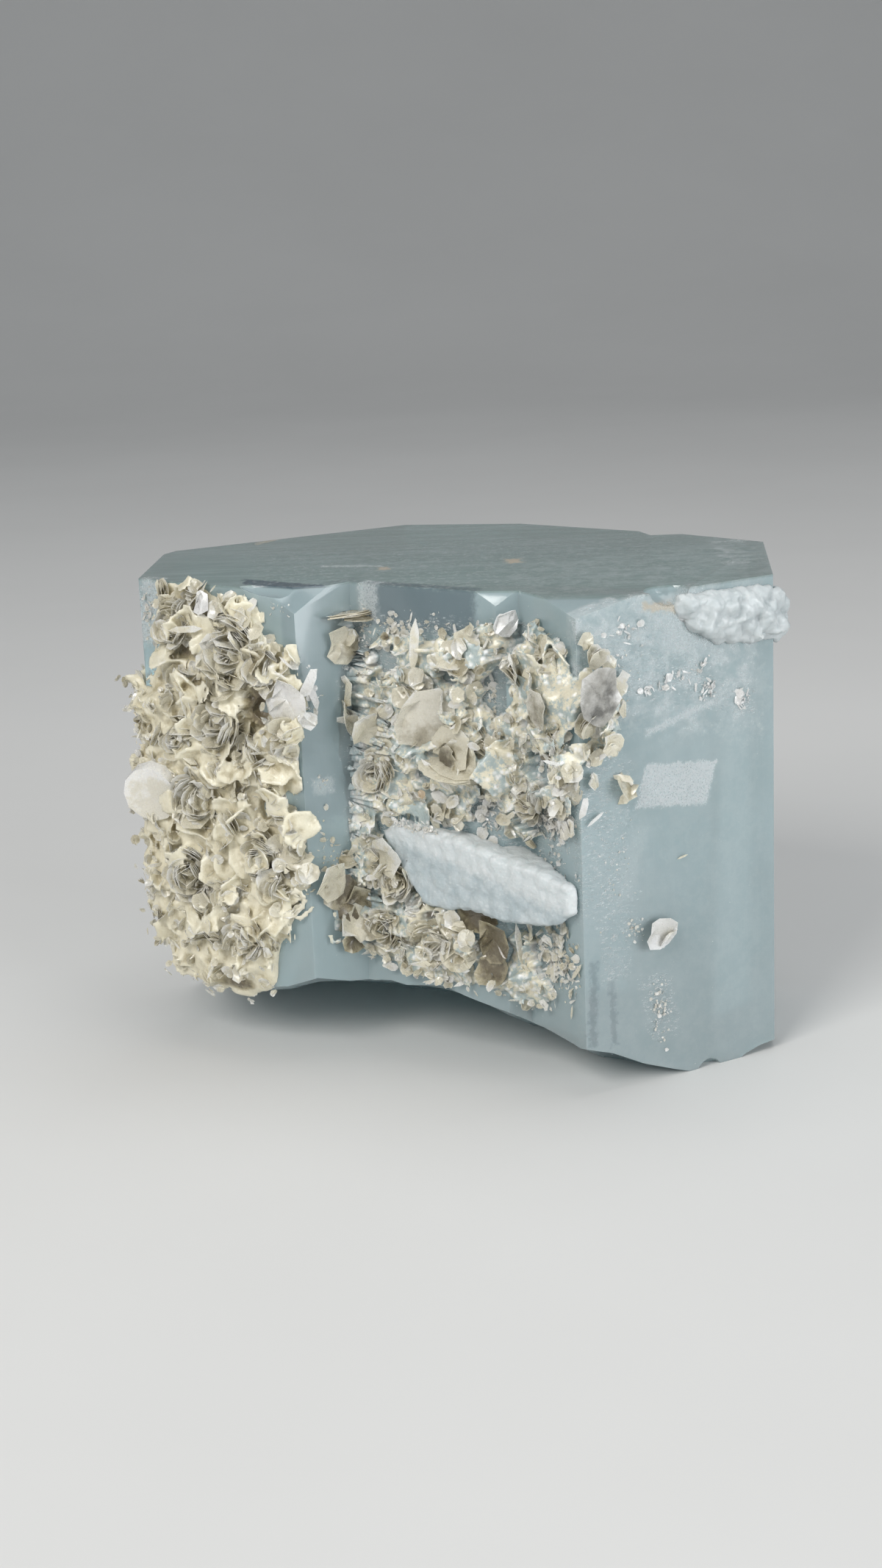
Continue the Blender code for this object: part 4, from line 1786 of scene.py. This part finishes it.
@dataclass(frozen=True)
class GranularMass:
    """A small frosty mass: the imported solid, rounded and roughened.

    Args:
        node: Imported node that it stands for.
        name: Name of the piece.
        slot: Its material slot.
        voxel: Cell of its even mesh, in mm.
        bumps: Size of its bumps, in mm.
        relief: Height of its bumps, in mm.
        sink: Move towards the prism, in mm.
        smoothing: Passes that round its corners.
        sharpest: Angle over which an edge stays sharp, in degrees.
    """

    node: str
    name: str
    slot: str
    voxel: float
    bumps: float
    relief: float
    sink: tuple[float, float, float] = (0.0, 0.0, 0.0)
    smoothing: int = 2
    sharpest: float = 45.0

    def build(self, finish: Material) -> None:
        """Build the mass.

        Args:
            finish: Its material.
        """
        mass = merged_copy(self.node, self.name)
        even_out(mass, self.voxel, self.smoothing)
        roughen(mass, "VORONOI", self.bumps, -self.relief, distance_metric="DISTANCE_SQUARED")
        roughen(mass, "CLOUDS", self.bumps * 0.4, self.relief * 0.5)
        apply_modifiers(mass)
        mass.data.transform(Matrix.Translation(Vector(self.sink) * MM))
        shade_smooth(mass, self.sharpest)
        finish_piece(mass, finish, self.slot, self.node)


# Stage


@dataclass(frozen=True)
class SoftLight:
    """A soft square light that faces the specimen.

    Args:
        name: Its name.
        place: Where it is, in mm.
        size: Its side, in mm.
        power: Its power in watts.
        tint: Its colour.
        aim: The point that it faces, in mm.
    """

    name: str
    place: tuple[float, float, float]
    size: float
    power: float
    tint: Colour
    aim: tuple[float, float, float] = (0.0, 0.0, 22.0)

    def build(self) -> None:
        """Add the light and turn it to the specimen's middle."""
        data = configured(bpy.data.lights.new(self.name, "AREA"), size=self.size * MM,
                          energy=self.power, color=self.tint)
        light = new_object(self.name, data)
        light.location = Vector(self.place) * MM
        ahead = Vector(self.aim) * MM - light.location
        light.rotation_euler = ahead.to_track_quat("-Z", "Y").to_euler()


@dataclass(frozen=True)
class Studio:
    """Pale floor, soft lights and the camera.

    Args:
        floor_half: Half the floor's side and the height of the wall behind it, in mm.
        sweep: Radius of the bend between them, in mm.
        lens: The camera's focal length, in mm.
        sensor: Width of its sensor, in mm.
        camera_place: Where it is before the solids were centred, in mm.
        pitch: How far it looks down, in degrees.
        roll: How far it is turned about its own axis, in degrees.
        world: Colour of the light from all sides.
        world_strength: Strength of that light.
        lights: The soft lights.
    """

    floor_half: float = 1000.0
    sweep: float = 500.0
    lens: float = 55.312
    sensor: float = 36.0
    camera_place: tuple[float, float, float] = (-0.6, -216.5, 83.584)
    pitch: float = 15.543
    roll: float = -2.4
    world: Colour = (0.42, 0.44, 0.46)
    world_strength: float = 0.62
    lights: tuple[SoftLight, ...] = (
        SoftLight("Key", (-220.0, -330.0, 330.0), 220.0, 1.45, (1.0, 0.98, 0.95)),
        SoftLight("Fill", (330.0, -300.0, 90.0), 300.0, 1.4, (0.96, 0.98, 1.0)),
        SoftLight("Top", (60.0, 60.0, 480.0), 300.0, 0.65, (1.0, 1.0, 1.0)))

    def build(self, floor_finish: Material) -> None:
        """Set up the floor, the lights and the camera.

        Args:
            floor_finish: The floor's material.
        """
        self._floor(floor_finish)
        for light in self.lights:
            light.build()
        sky = bpy.data.worlds.new("Studio")
        sky.use_nodes = True
        sheet = NodeSheet(sky.node_tree)
        background = sheet.add("Background", self.world, self.world_strength)
        sheet.add("OutputWorld", background.outputs[0])
        bpy.context.scene.world = sky
        self._camera()

    def _floor(self, finish: Material) -> None:
        """Lay the floor and turn it up into a back wall behind the specimen.

        Args:
            finish: Its material.
        """
        back = 0.9 * self.floor_half * MM
        deselect_all()
        bpy.ops.mesh.primitive_plane_add(size=2.0 * self.floor_half * MM)
        floor = bpy.context.object
        floor.name = "floor"
        self._edit_edges(floor, lambda ends: (ends[0] + ends[1]).y / 2.0 > back)
        bpy.ops.mesh.extrude_region_move(
            TRANSFORM_OT_translate={"value": (0.0, 0.0, self.floor_half * MM)})
        self._edit_edges(floor, lambda ends: all(end.y > back and end.z < MM for end in ends))
        bpy.ops.mesh.bevel(offset=self.sweep * MM, segments=16)
        bpy.ops.object.mode_set(mode="OBJECT")
        bpy.ops.object.shade_smooth()
        floor.data.materials.append(finish)

    @staticmethod
    def _edit_edges(obj: Obj, chosen: Callable[[list[Vector]], bool]) -> None:
        """Select the edges whose ends pass a test, in edit mode.

        Args:
            obj: The object.
            chosen: The test of an edge's two ends.
        """
        bpy.ops.object.mode_set(mode="EDIT")
        bpy.ops.mesh.select_mode(type="EDGE")
        bpy.ops.mesh.select_all(action="DESELECT")
        bpy.ops.object.mode_set(mode="OBJECT")
        for edge in obj.data.edges:
            edge.select = chosen([obj.data.vertices[i].co for i in edge.vertices])
        bpy.ops.object.mode_set(mode="EDIT")

    def _camera(self) -> None:
        """Place the camera at the specimen's front, a little above it."""
        data = configured(bpy.data.cameras.new("Camera"), lens=self.lens,
                          sensor_width=self.sensor, clip_start=0.01, clip_end=20.0)
        camera = new_object("Camera", data)
        pitch, roll = math.radians(self.pitch), math.radians(self.roll)
        ahead = Vector((0.0, math.cos(pitch), -math.sin(pitch)))
        above = Vector((0.0, math.sin(pitch), math.cos(pitch)))
        side = Vector((1.0, 0.0, 0.0))
        right = side * math.cos(roll) + above * math.sin(roll)
        up = above * math.cos(roll) - side * math.sin(roll)
        turn = Matrix((right, up, -ahead)).transposed().to_4x4()
        place = Vector(self.camera_place) + FRONT.shift
        camera.matrix_world = Matrix.Translation(place * MM) @ turn
        bpy.context.scene.camera = camera


# The specimen

# Columns: kind, s, z, half width, half height, soft, ragged, weight, slant, lean.
# SHADE rows are painted shade on facets; GRAINS rows paint frosty wisps and bright dashes that are
# painted glints.
BERYL_MARKS = (
    FaceMark(FROST, 58.7, 26.9, 3.6, 1.7, 0.45, 0.35, 0.95, -0.12, 0.28),
    FaceMark(FROST, 59.2, 32.8, 3.4, 0.1, 0.5, 0.3, 0.75, 0.24),
    FaceMark(GRAINS, 62.0, 35.0, 2.0, 1.0, 1.2, 0.7, 0.9, -0.5),
    FaceMark(GRAINS, 65.9, 33.3, 0.9, 1.0, 0.9, 0.5, 0.9),
    FaceMark(GRAINS, 56.6, 7.0, 1.2, 2.6, 0.9, 0.6, 0.9, 0.0, -0.2),
    FaceMark(GRAINS, 50.4, 23.4, 2.4, 6.5, 2.4, 2.2, 0.7, -0.4),
    FaceMark(GRAINS, 55.0, 38.0, 5.0, 2.6, 2.6, 1.4, 0.75),
    FaceMark(HAZE, 57.4, 38.6, 8.6, 5.0, 4.0, 1.5, 0.6, -0.2),
    FaceMark(FROST, 60.2, 41.2, 2.2, 2.0, 1.6, 1.2, 0.55, -0.15),
    FaceMark(HAZE, 57.0, 18.0, 10.0, 16.0, 3.0, 1.5, 0.12),
    FaceMark(FROST, 53.9, 20.6, 0.3, 2.6, 1.4, 0.6, 0.3, 0.0, 0.3),
    FaceMark(SHADE, 49.6, 8.6, 0.12, 3.6, 0.5, 0.5, 0.35, 0.0, 0.04),
    FaceMark(SHADE, 51.6, 7.4, 0.1, 2.8, 0.4, 0.5, 0.3, 0.0, -0.03),
    FaceMark(GRAINS, 36.4, 25.6, 12.4, 14.6, 1.4, 1.6, 1.0),
    FaceMark(SHADE, 30.6, 42.2, 5.0, 1.6, 1.2, 0.5, 0.7, -0.03),
    FaceMark(SHADE, 20.4, 34.0, 3.4, 10.5, 1.5, 0.5, 0.25),
    FaceMark(FROST, 25.4, 42.4, 0.7, 1.4, 0.7, 0.4, 0.8),
    FaceMark(FROST, 19.4, 26.0, 0.8, 0.4, 0.6, 0.4, 0.5),
    FaceMark(FROST, 0.9, 41.0, 0.6, 2.6, 0.8, 0.6, 0.95, 0.0, 0.15),
    FaceMark(STAIN, 57.2, 42.7, 1.5, 0.12, 0.5, 0.4, 0.75, -0.2),
)

TOP_MARKS = (
    # The SHADE row is painted shade in the chip at the front edge; the GRAINS row adds frosty wisps
    # and painted glints.
    FaceMark(SHADE, -13.4, -6.5, 3.9, 1.1, 0.4, 0.5, 1.0, -0.62),
    FaceMark(STAIN, 6.9, 0.7, 0.4, 0.8, 0.5, 0.6, 0.9),
    FaceMark(STAIN, -5.0, -0.3, 0.3, 0.5, 0.4, 0.5, 0.8),
    FaceMark(STAIN, -16.2, 17.6, 1.0, 0.5, 0.7, 0.6, 0.6, 1.4),
    FaceMark(FROST, -7.9, 1.5, 2.6, 0.2, 0.5, 0.5, 0.6, -0.22),
    FaceMark(GRAINS, 4.0, 0.0, 18.0, 9.0, 6.0, 2.0, 0.35),
    FaceMark(HAZE, 18.0, -6.0, 10.0, 6.0, 5.0, 1.5, 0.25, 0.3),
    FaceMark(HAZE, 27.0, 2.0, 1.2, 7.0, 2.0, 1.0, 0.5),
)

# Columns of a feature: pattern, s, z, out, size, tone, warmth, roll, turn, lean.
LEFT_FEATURES = (
    Rosette(11.2, 38.6, 0.6, 3.3, 0.8, 0.62, 5),
    Rosette(4.9, 40.4, 0.5, 2.3, 0.74, 0.72, 6),
    Rosette(9.2, 31.8, 0.8, 2.6, 0.72, 0.6, 7),
    Rosette(4.4, 29.6, 0.7, 2.1, 0.7, 0.6, 8),
    Rosette(6.8, 24.4, 0.9, 2.7, 0.76, 0.55, 9),
    Rosette(13.2, 19.6, 0.7, 2.6, 0.76, 0.6, 10),
    Rosette(5.0, 17.0, 0.9, 2.7, 0.72, 0.6, 11),
    Rosette(11.0, 11.6, 0.7, 2.4, 0.7, 0.6, 12),
    Feature("torn", 16.8, 34.2, 1.1, 2.0, 0.98, 0.2, -12, 14),
    Feature("shard", 17.6, 35.9, 1.2, 1.5, 1.0, 0.1, -32, -12),
    Feature("shard", 18.2, 34.4, 1.0, 1.2, 0.95, 0.1, 18, 20, 12),
    Feature("jagged", 17.4, 32.6, 1.0, 1.1, 0.95, 0.2, 60, -20, -14),
    Feature("bun", 1.4, 24.6, 1.5, 2.8, 0.8, 0.25, 0, 14),
    Feature("sliver", 7.2, 40.4, 2.6, 1.9, 0.85, 0.6, -84),
    Feature("jagged", 8.6, 42.6, 1.8, 1.2, 1.0, 0.1, 10, -10, 15),
    Feature("plate", -0.8, 27.8, 1.0, 0.4, 1.0, 0.1),
    Feature("torn_petal", 18.8, 17.4, 0.9, 2.0, 0.66, 0.65, -30, 20),
)

CENTRE_FEATURES = (
    Feature("long_book", 22.2, 41.2, 1.5, 2.5, 0.34, 0.85, 90, 0, 97),
    Feature("long_book", 23.2, 40.9, 1.7, 1.8, 0.42, 0.8, 86, 0, 80),
    Feature("torn", 21.9, 38.6, 0.5, 1.8, 0.5, 0.4, 20),
    Feature("jagged", 23.6, 39.2, 0.9, 1.0, 0.7, 0.75, -40, 20),
    Feature("shard", 22.2, 31.8, 0.9, 1.7, 0.8, 0.45, 72, -10),
    Feature("jagged", 23.6, 34.2, 1.2, 1.6, 0.74, 0.8, -10, -30),
    Feature("torn_petal", 24.0, 32.0, 1.3, 1.7, 0.7, 0.8, 10, -55),
    Feature("torn_petal", 25.9, 31.2, 1.3, 1.7, 0.74, 0.75, -6, 60),
    Feature("jagged", 38.8, 41.4, 0.9, 1.4, 1.0, 0.05, -38),
    Feature("plate", 49.6, 36.6, 2.0, 2.7, 0.22, 0.05, 14, 4),
    Feature("wide_petal", 32.2, 33.0, 1.7, 2.6, 0.5, 0.3, 24, 10, 8),
    Feature("torn_petal", 34.8, 30.4, 1.8, 2.2, 0.52, 0.45, -30, -10, 14),
    Feature("long_book", 34.0, 28.3, 2.6, 2.9, 0.5, 0.5, 57, 20, 70),
    Feature("sliver", 33.2, 27.9, 2.5, 2.1, 0.95, 0.3, 44, 10),
    Feature("torn", 35.6, 29.4, 2.2, 1.9, 0.58, 0.5, 30, -14, 10),
    Feature("jagged", 36.2, 28.6, 1.9, 1.8, 0.66, 0.6, -24, 45),
    Feature("sliver", 31.0, 39.2, 1.8, 2.5, 0.8, 0.6, -6, 20),
    Feature("torn_petal", 34.8, 38.4, 1.5, 1.6, 0.62, 0.8, 150, 0, 30),
    Feature("petal", 36.2, 39.6, 1.5, 1.4, 0.7, 0.75, -120, 20),
    Feature("plate", 31.2, 25.9, 1.9, 0.45, 0.5, 1.0),
    Feature("torn_petal", 27.4, 19.6, 1.5, 1.9, 0.85, 0.6, -60, -10),
    # The next three very dark leaves are painted shade in a cavity.
    Feature("plate", 35.4, 14.8, 0.7, 2.0, 0.03, 0.6, 72, 8),
    Feature("torn", 37.4, 12.6, 0.9, 2.0, 0.06, 0.6, 6, -12),
    Feature("plate", 37.0, 9.8, 0.8, 1.8, 0.08, 0.6, 160, 10),
    Feature("sliver", 39.0, 12.4, 1.3, 2.2, 0.8, 0.55, 8, 30),
    Feature("torn", 34.0, 11.2, 1.4, 1.7, 0.62, 0.6, -10, 25, 10),
    Feature("jagged", 33.2, 13.8, 1.4, 1.5, 0.6, 0.55, 40, 15),
    Feature("long_book", 40.4, 8.9, 1.0, 1.5, 0.5, 0.65, 48, 10, 30),
    Feature("jagged", 39.6, 6.9, 0.8, 1.0, 0.7, 0.6, -20, 20),
    Feature("jagged", 41.8, 13.6, 0.8, 0.9, 0.85, 0.6, 20, -20),
    Feature("shard", 43.0, 11.8, 0.6, 0.9, 1.0, 0.2, -50),
    Feature("jagged", 44.4, 13.6, 0.7, 0.8, 0.9, 0.4, 80, 0, -20),
    Feature("shard", 42.4, 9.6, 0.6, 0.8, 1.0, 0.15, 10, 20),
    # The next three very dark leaves are painted shade in a gap.
    Feature("plate", 20.0, 16.0, 0.7, 2.1, 0.1, 0.35, 82, -8),
    Feature("torn", 21.6, 14.2, 0.8, 1.9, 0.07, 0.45, -24),
    Feature("plate", 21.4, 11.4, 0.7, 1.9, 0.04, 0.55, 96, 6),
    Feature("torn", 21.2, 12.9, 1.2, 1.8, 0.72, 0.6, 84, 0, 24),
    Feature("fan", 50.2, 39.6, 0.6, 1.1, 0.78, 0.72, -20, 20),
    Feature("jagged", 51.6, 38.8, 0.5, 0.9, 0.84, 0.7, 50, -10),
    Feature("torn", 52.6, 36.8, 0.6, 1.1, 0.74, 0.75, -40, 20),
    Feature("jagged", 52.8, 34.6, 0.6, 0.9, 0.8, 0.7, 10, 30),
    Feature("torn", 49.4, 41.0, 0.5, 0.8, 0.7, 0.75, 70),
    Feature("plate", 46.2, 35.2, 2.5, 1.8, 0.32, 0.25, 20, -8),
    Feature("torn", 46.6, 31.6, 1.4, 1.4, 0.16, 0.6, -30, 10),
    Feature("plate", 34.2, 29.6, 2.3, 1.3, 0.18, 0.3, -40, -20),
    Feature("fan", 48.9, 34.0, 0.8, 1.2, 0.72, 0.7, 30, 10),
    Feature("jagged", 49.2, 31.6, 0.6, 1.1, 0.7, 0.75, -30, 25),
    Feature("torn", 48.4, 29.6, 0.7, 1.0, 0.62, 0.6, 70),
    Feature("jagged", 48.2, 24.6, 0.5, 0.9, 0.85, 0.5, 15, -15),
    Feature("shard", 50.4, 30.8, 0.5, 1.0, 1.0, 0.25, -70, -20),
    Feature("jagged", 49.8, 28.8, 0.5, 0.9, 0.9, 0.45, 30, 25),
    Feature("shard", 48.8, 26.6, 0.5, 1.0, 1.0, 0.15, -20),
    Feature("sliver", 50.0, 25.4, 0.4, 1.0, 1.0, 0.2, -60),
    Rosette(27.6, 17.4, 0.6, 2.2, 0.76, 0.55, 31),
    Rosette(31.6, 11.6, 0.6, 2.3, 0.66, 0.5, 32),
    Rosette(26.0, 12.4, 0.5, 2.0, 0.64, 0.5, 33),
    Rosette(43.0, 26.0, 0.6, 2.1, 0.74, 0.6, 34),
    Rosette(26.0, 27.0, 0.5, 2.1, 0.76, 0.6, 35),
)

# Columns: s, z, half width, half height, count, sizes, tone, warmth.
DUST = (
    DustField(59.0, 36.6, 3.4, 0.7, 60, (0.06, 0.5), 1.0, 0.05, slant=0.25),
    DustField(61.9, 35.0, 1.2, 1.2, 50, (0.06, 0.5), 1.0, 0.05, slant=-0.5),
    DustField(65.9, 33.3, 0.9, 1.2, 40, (0.06, 0.5), 1.0, 0.1),
    DustField(53.6, 41.2, 1.6, 0.7, 26, (0.06, 0.5), 1.0, 0.05),
    DustField(56.6, 7.0, 1.1, 2.9, 130, (0.06, 0.24)),
    DustField(51.6, 20.5, 2.6, 4.6, 70, (0.05, 0.16)),
    DustField(45.4, 22.0, 3.0, 4.0, 90, (0.06, 0.3)),
    DustField(46.4, 28.0, 2.0, 4.6, 80, (0.06, 0.3)),
    DustField(53.0, 37.5, 4.0, 3.0, 40),
    DustField(54.0, 14.4, 1.6, 1.2, 50, (0.06, 0.22)),
    DustField(24.0, 33.5, 1.4, 5.0, 60, (0.08, 0.3)),
    DustField(24.6, 39.5, 1.4, 2.4, 60, (0.08, 0.3)),
    DustField(30.5, 40.6, 4.5, 1.2, 60, (0.06, 0.3), 0.8),
    DustField(19.0, 26.3, 1.0, 0.8, 18, (0.08, 0.25)),
    DustField(19.2, 19.0, 1.6, 3.6, 50, (0.1, 0.4), 0.75, 0.5),
    DustField(45.6, 11.5, 2.4, 3.0, 110, (0.1, 0.5), 0.85, 0.4),
    DustField(17.4, 34.4, 1.3, 2.4, 60, (0.15, 0.5), 0.98, 0.15, out=0.8),
    DustField(1.0, 40.4, 0.6, 2.2, 40, (0.1, 0.4)),
    DustField(15.6, 42.4, 1.6, 1.0, 14, (0.08, 0.25)),
    DustField(38.2, 35.0, 1.6, 2.4, 70, (0.15, 0.6), 0.95, 0.25),
    DustField(28.6, 39.6, 2.8, 2.2, 90, (0.15, 0.6), 0.92, 0.3),
    DustField(44.0, 30.0, 3.0, 2.6, 90, (0.15, 0.6), 0.92, 0.3),
    DustField(37.0, 24.2, 2.0, 2.2, 90, (0.15, 0.7), 0.95),
    DustField(44.4, 24.6, 3.4, 1.8, 130, (0.15, 0.7), 0.95),
    DustField(44.4, 12.6, 3.4, 3.4, 110, (0.2, 0.8), 0.85, 0.45),
    DustField(30.6, 22.6, 3.4, 0.6, 130, (0.08, 0.35), 0.95, slant=-0.2, out=1.7),
    DustField(38.4, 20.8, 3.6, 0.6, 130, (0.08, 0.35), 0.95, slant=-0.4, out=1.7),
)

SHREDS = ("sliver", "shard", "jagged", "sliver", "torn", "long_book")

LEFT_CRUST = MuscoviteCrust(
    "muscovite_left", 4.2, (0.35, 0.6, 0.0),
    LeafCoat(Habit.SCALES, ("fold", "wave", "curl", "flat", "wave"), 420, 1.0, (1.1, 2.4),
             (25.0, 80.0), (0.72, 0.13), (0.45, 0.75), 20),
    (LeafCoat(Habit.ROSETTE, ("book", "fan", "ruff", "fan", "petal", "torn_petal"), 300, 1.0,
              (0.8, 1.9), (18.0, 66.0), (0.68, 0.14), (0.5, 0.75), 21),
     LeafCoat(Habit.SCALES, (*SHREDS, "scale", "petal"), 640, 0.7, (0.35, 1.0), (30.0, 76.0),
              (0.84, 0.14), (0.4, 0.75), 22)),
    LEFT_FEATURES, hollows=((13.4, 24.4, 0.9), (1.4, 24.6, 2.6)),
    bare=(Oval(0.2, 41.0, 1.7, 4.2),), clear=(Oval(0.8, 41.2, 1.9, 3.6),),
    recesses=(Oval(5.6, 38.1, 1.6, 1.0), Oval(13.4, 33.4, 1.1, 2.2), Oval(13.4, 24.4, 0.8, 1.4),
              Oval(8.6, 6.6, 2.0, 0.8)))

CENTRE_CRUST = MuscoviteCrust(
    "muscovite_centre", 3.4, (0.0, 0.55, 0.0),
    LeafCoat(Habit.SCALES, ("flat", "wave", "flat", "fold"), 260, 1.1, (0.9, 2.2), (60.0, 90.0),
             (0.62, 0.18), (0.25, 0.7), 33),
    (LeafCoat(Habit.SCALES, ("book", "jagged", "torn", "torn_petal", "fan"), 200, 1.1,
              (0.6, 1.5), (40.0, 86.0), (0.62, 0.18), (0.4, 0.8), 34),
     LeafCoat(Habit.SCALES, SHREDS, 620, 0.65, (0.25, 1.2), (20.0, 80.0), (0.86, 0.12),
              (0.25, 0.6), 35)),
    CENTRE_FEATURES, hollows=((26.4, 33.6, 0.6), (49.6, 36.6, 2.9)),
    bare=(Oval(20.8, 32.0, 2.1, 12.6), Oval(24.6, 40.0, 1.5, 3.6), Oval(28.6, 41.0, 2.6, 1.3),
          Oval(27.4, 37.4, 1.3, 1.4), Oval(38.2, 35.2, 1.4, 2.2), Oval(41.4, 40.4, 1.2, 2.0),
          Oval(33.7, 36.4, 1.0, 0.8), Oval(44.6, 29.2, 2.2, 1.7), Oval(42.4, 33.2, 1.0, 1.0),
          Oval(36.8, 23.8, 1.5, 2.0), Oval(44.2, 24.2, 3.0, 1.7), Oval(46.6, 18.6, 1.6, 3.0),
          Oval(44.4, 12.4, 3.0, 3.0), Oval(30.8, 27.4, 0.9, 0.8)),
    recesses=(Oval(21.2, 15.0, 2.4, 1.5), Oval(21.8, 11.4, 1.9, 0.8), Oval(37.0, 11.8, 1.3, 2.8),
              Oval(31.0, 14.0, 1.0, 0.7)))

FLAKES = (
    LooseFlakes("flake_upper", (
        Feature("scale", 53.0, 27.8, 0.5, 1.3, 0.5, 0.75, 30, 25, 34),
        Feature("shard", 53.4, 27.0, 0.5, 1.2, 0.55, 0.8, -50, -30, 20),
        Feature("shard", 52.8, 28.6, 0.6, 0.9, 0.75, 0.6, 80, -50, 40)),
        ("muscovite_flake_upper",)),
    LooseFlakes("flake_lower", (
        Feature("wide_petal", 56.2, 14.0, 0.5, 1.5, 0.82, 0.1, 178, 10, -18),
        Feature("scale", 57.0, 13.4, 0.6, 1.1, 0.95, 0.3, 150, 30, -40)),
        ("muscovite_flake_lower",)),
    LooseFlakes("needle_flakes", (
        Feature("sliver", 47.9, 11.6, 0.25, 1.2, 0.6, 0.8, -40),
        Feature("sliver", 59.1, 20.3, 0.15, 0.6, 0.75, 0.6, -80),
        Feature("sliver", 47.0, 7.6, 0.25, 0.7, 0.5, 0.8, -10))),
)

BED_FINISH = MuscoviteFinish("MuscoviteBed", gloss=0.36, coat=0.4, milky=0.3, transmission=0.0,
                             relief=0.10)
FILM_FINISH = MuscoviteFinish("MuscoviteFilm", deep=(0.17, 0.15, 0.12), olive=(0.47, 0.48, 0.42),
                              silver=(0.97, 0.97, 0.95), gloss=0.28, coat=0.5, milky=0.3,
                              transmission=0.0, relief=0.08, seen=0.85, glitter=1.0)
PALE_FINISH = FrostyFinish("PaleCrystal", (0.535, 0.62, 0.65), (0.92, 0.95, 0.95),
                           (0.2, 0.2, 0.2), 3.0, 0.12, border=(20.4, -0.303))
WHITE_FINISH = FrostyFinish("WhiteCrust", (0.58, 0.63, 0.64), (0.76, 0.80, 0.80),
                            (0.8, 0.75, 0.65), 1.6, 0.05, rough=0.36)

PALE_BLOCK = GranularMass("pale_crystal", "pale_block", "pale_mineral", 0.14, 1.1, 0.30)
WHITE_BUMPS = GranularMass("white_crust", "white_bumps", "white_mineral", 0.16, 1.3, 0.6,
                           (-0.12, 0.45, 0.0))
DUST_SEED = 77


def main() -> None:
    """Build the stage and the camera, then the specimen."""
    logging.basicConfig(level=logging.INFO, format="%(message)s")
    bpy.context.scene.view_settings.view_transform = "Standard"
    Studio().build(FloorFinish().make())
    BerylPrism().build(BerylFinish(BERYL_MARKS, TOP_MARKS).make())
    leaf = MuscoviteFinish().make()
    patterns = {pattern.name: pattern.model() for pattern in LEAF_PATTERNS}
    LEFT_CRUST.build(patterns, leaf, BED_FINISH.make())
    CENTRE_CRUST.build(patterns, leaf, FILM_FINISH.make())
    PALE_BLOCK.build(PALE_FINISH.make())
    WHITE_BUMPS.build(WHITE_FINISH.make())
    for flakes in FLAKES:
        flakes.build(patterns, leaf)
    rng = np.random.default_rng(DUST_SEED)
    dust = tuple(flake for field in DUST for flake in field.flakes(rng))
    LooseFlakes("muscovite_dust", dust).build(patterns, leaf)


if __name__ == "__main__":
    main()
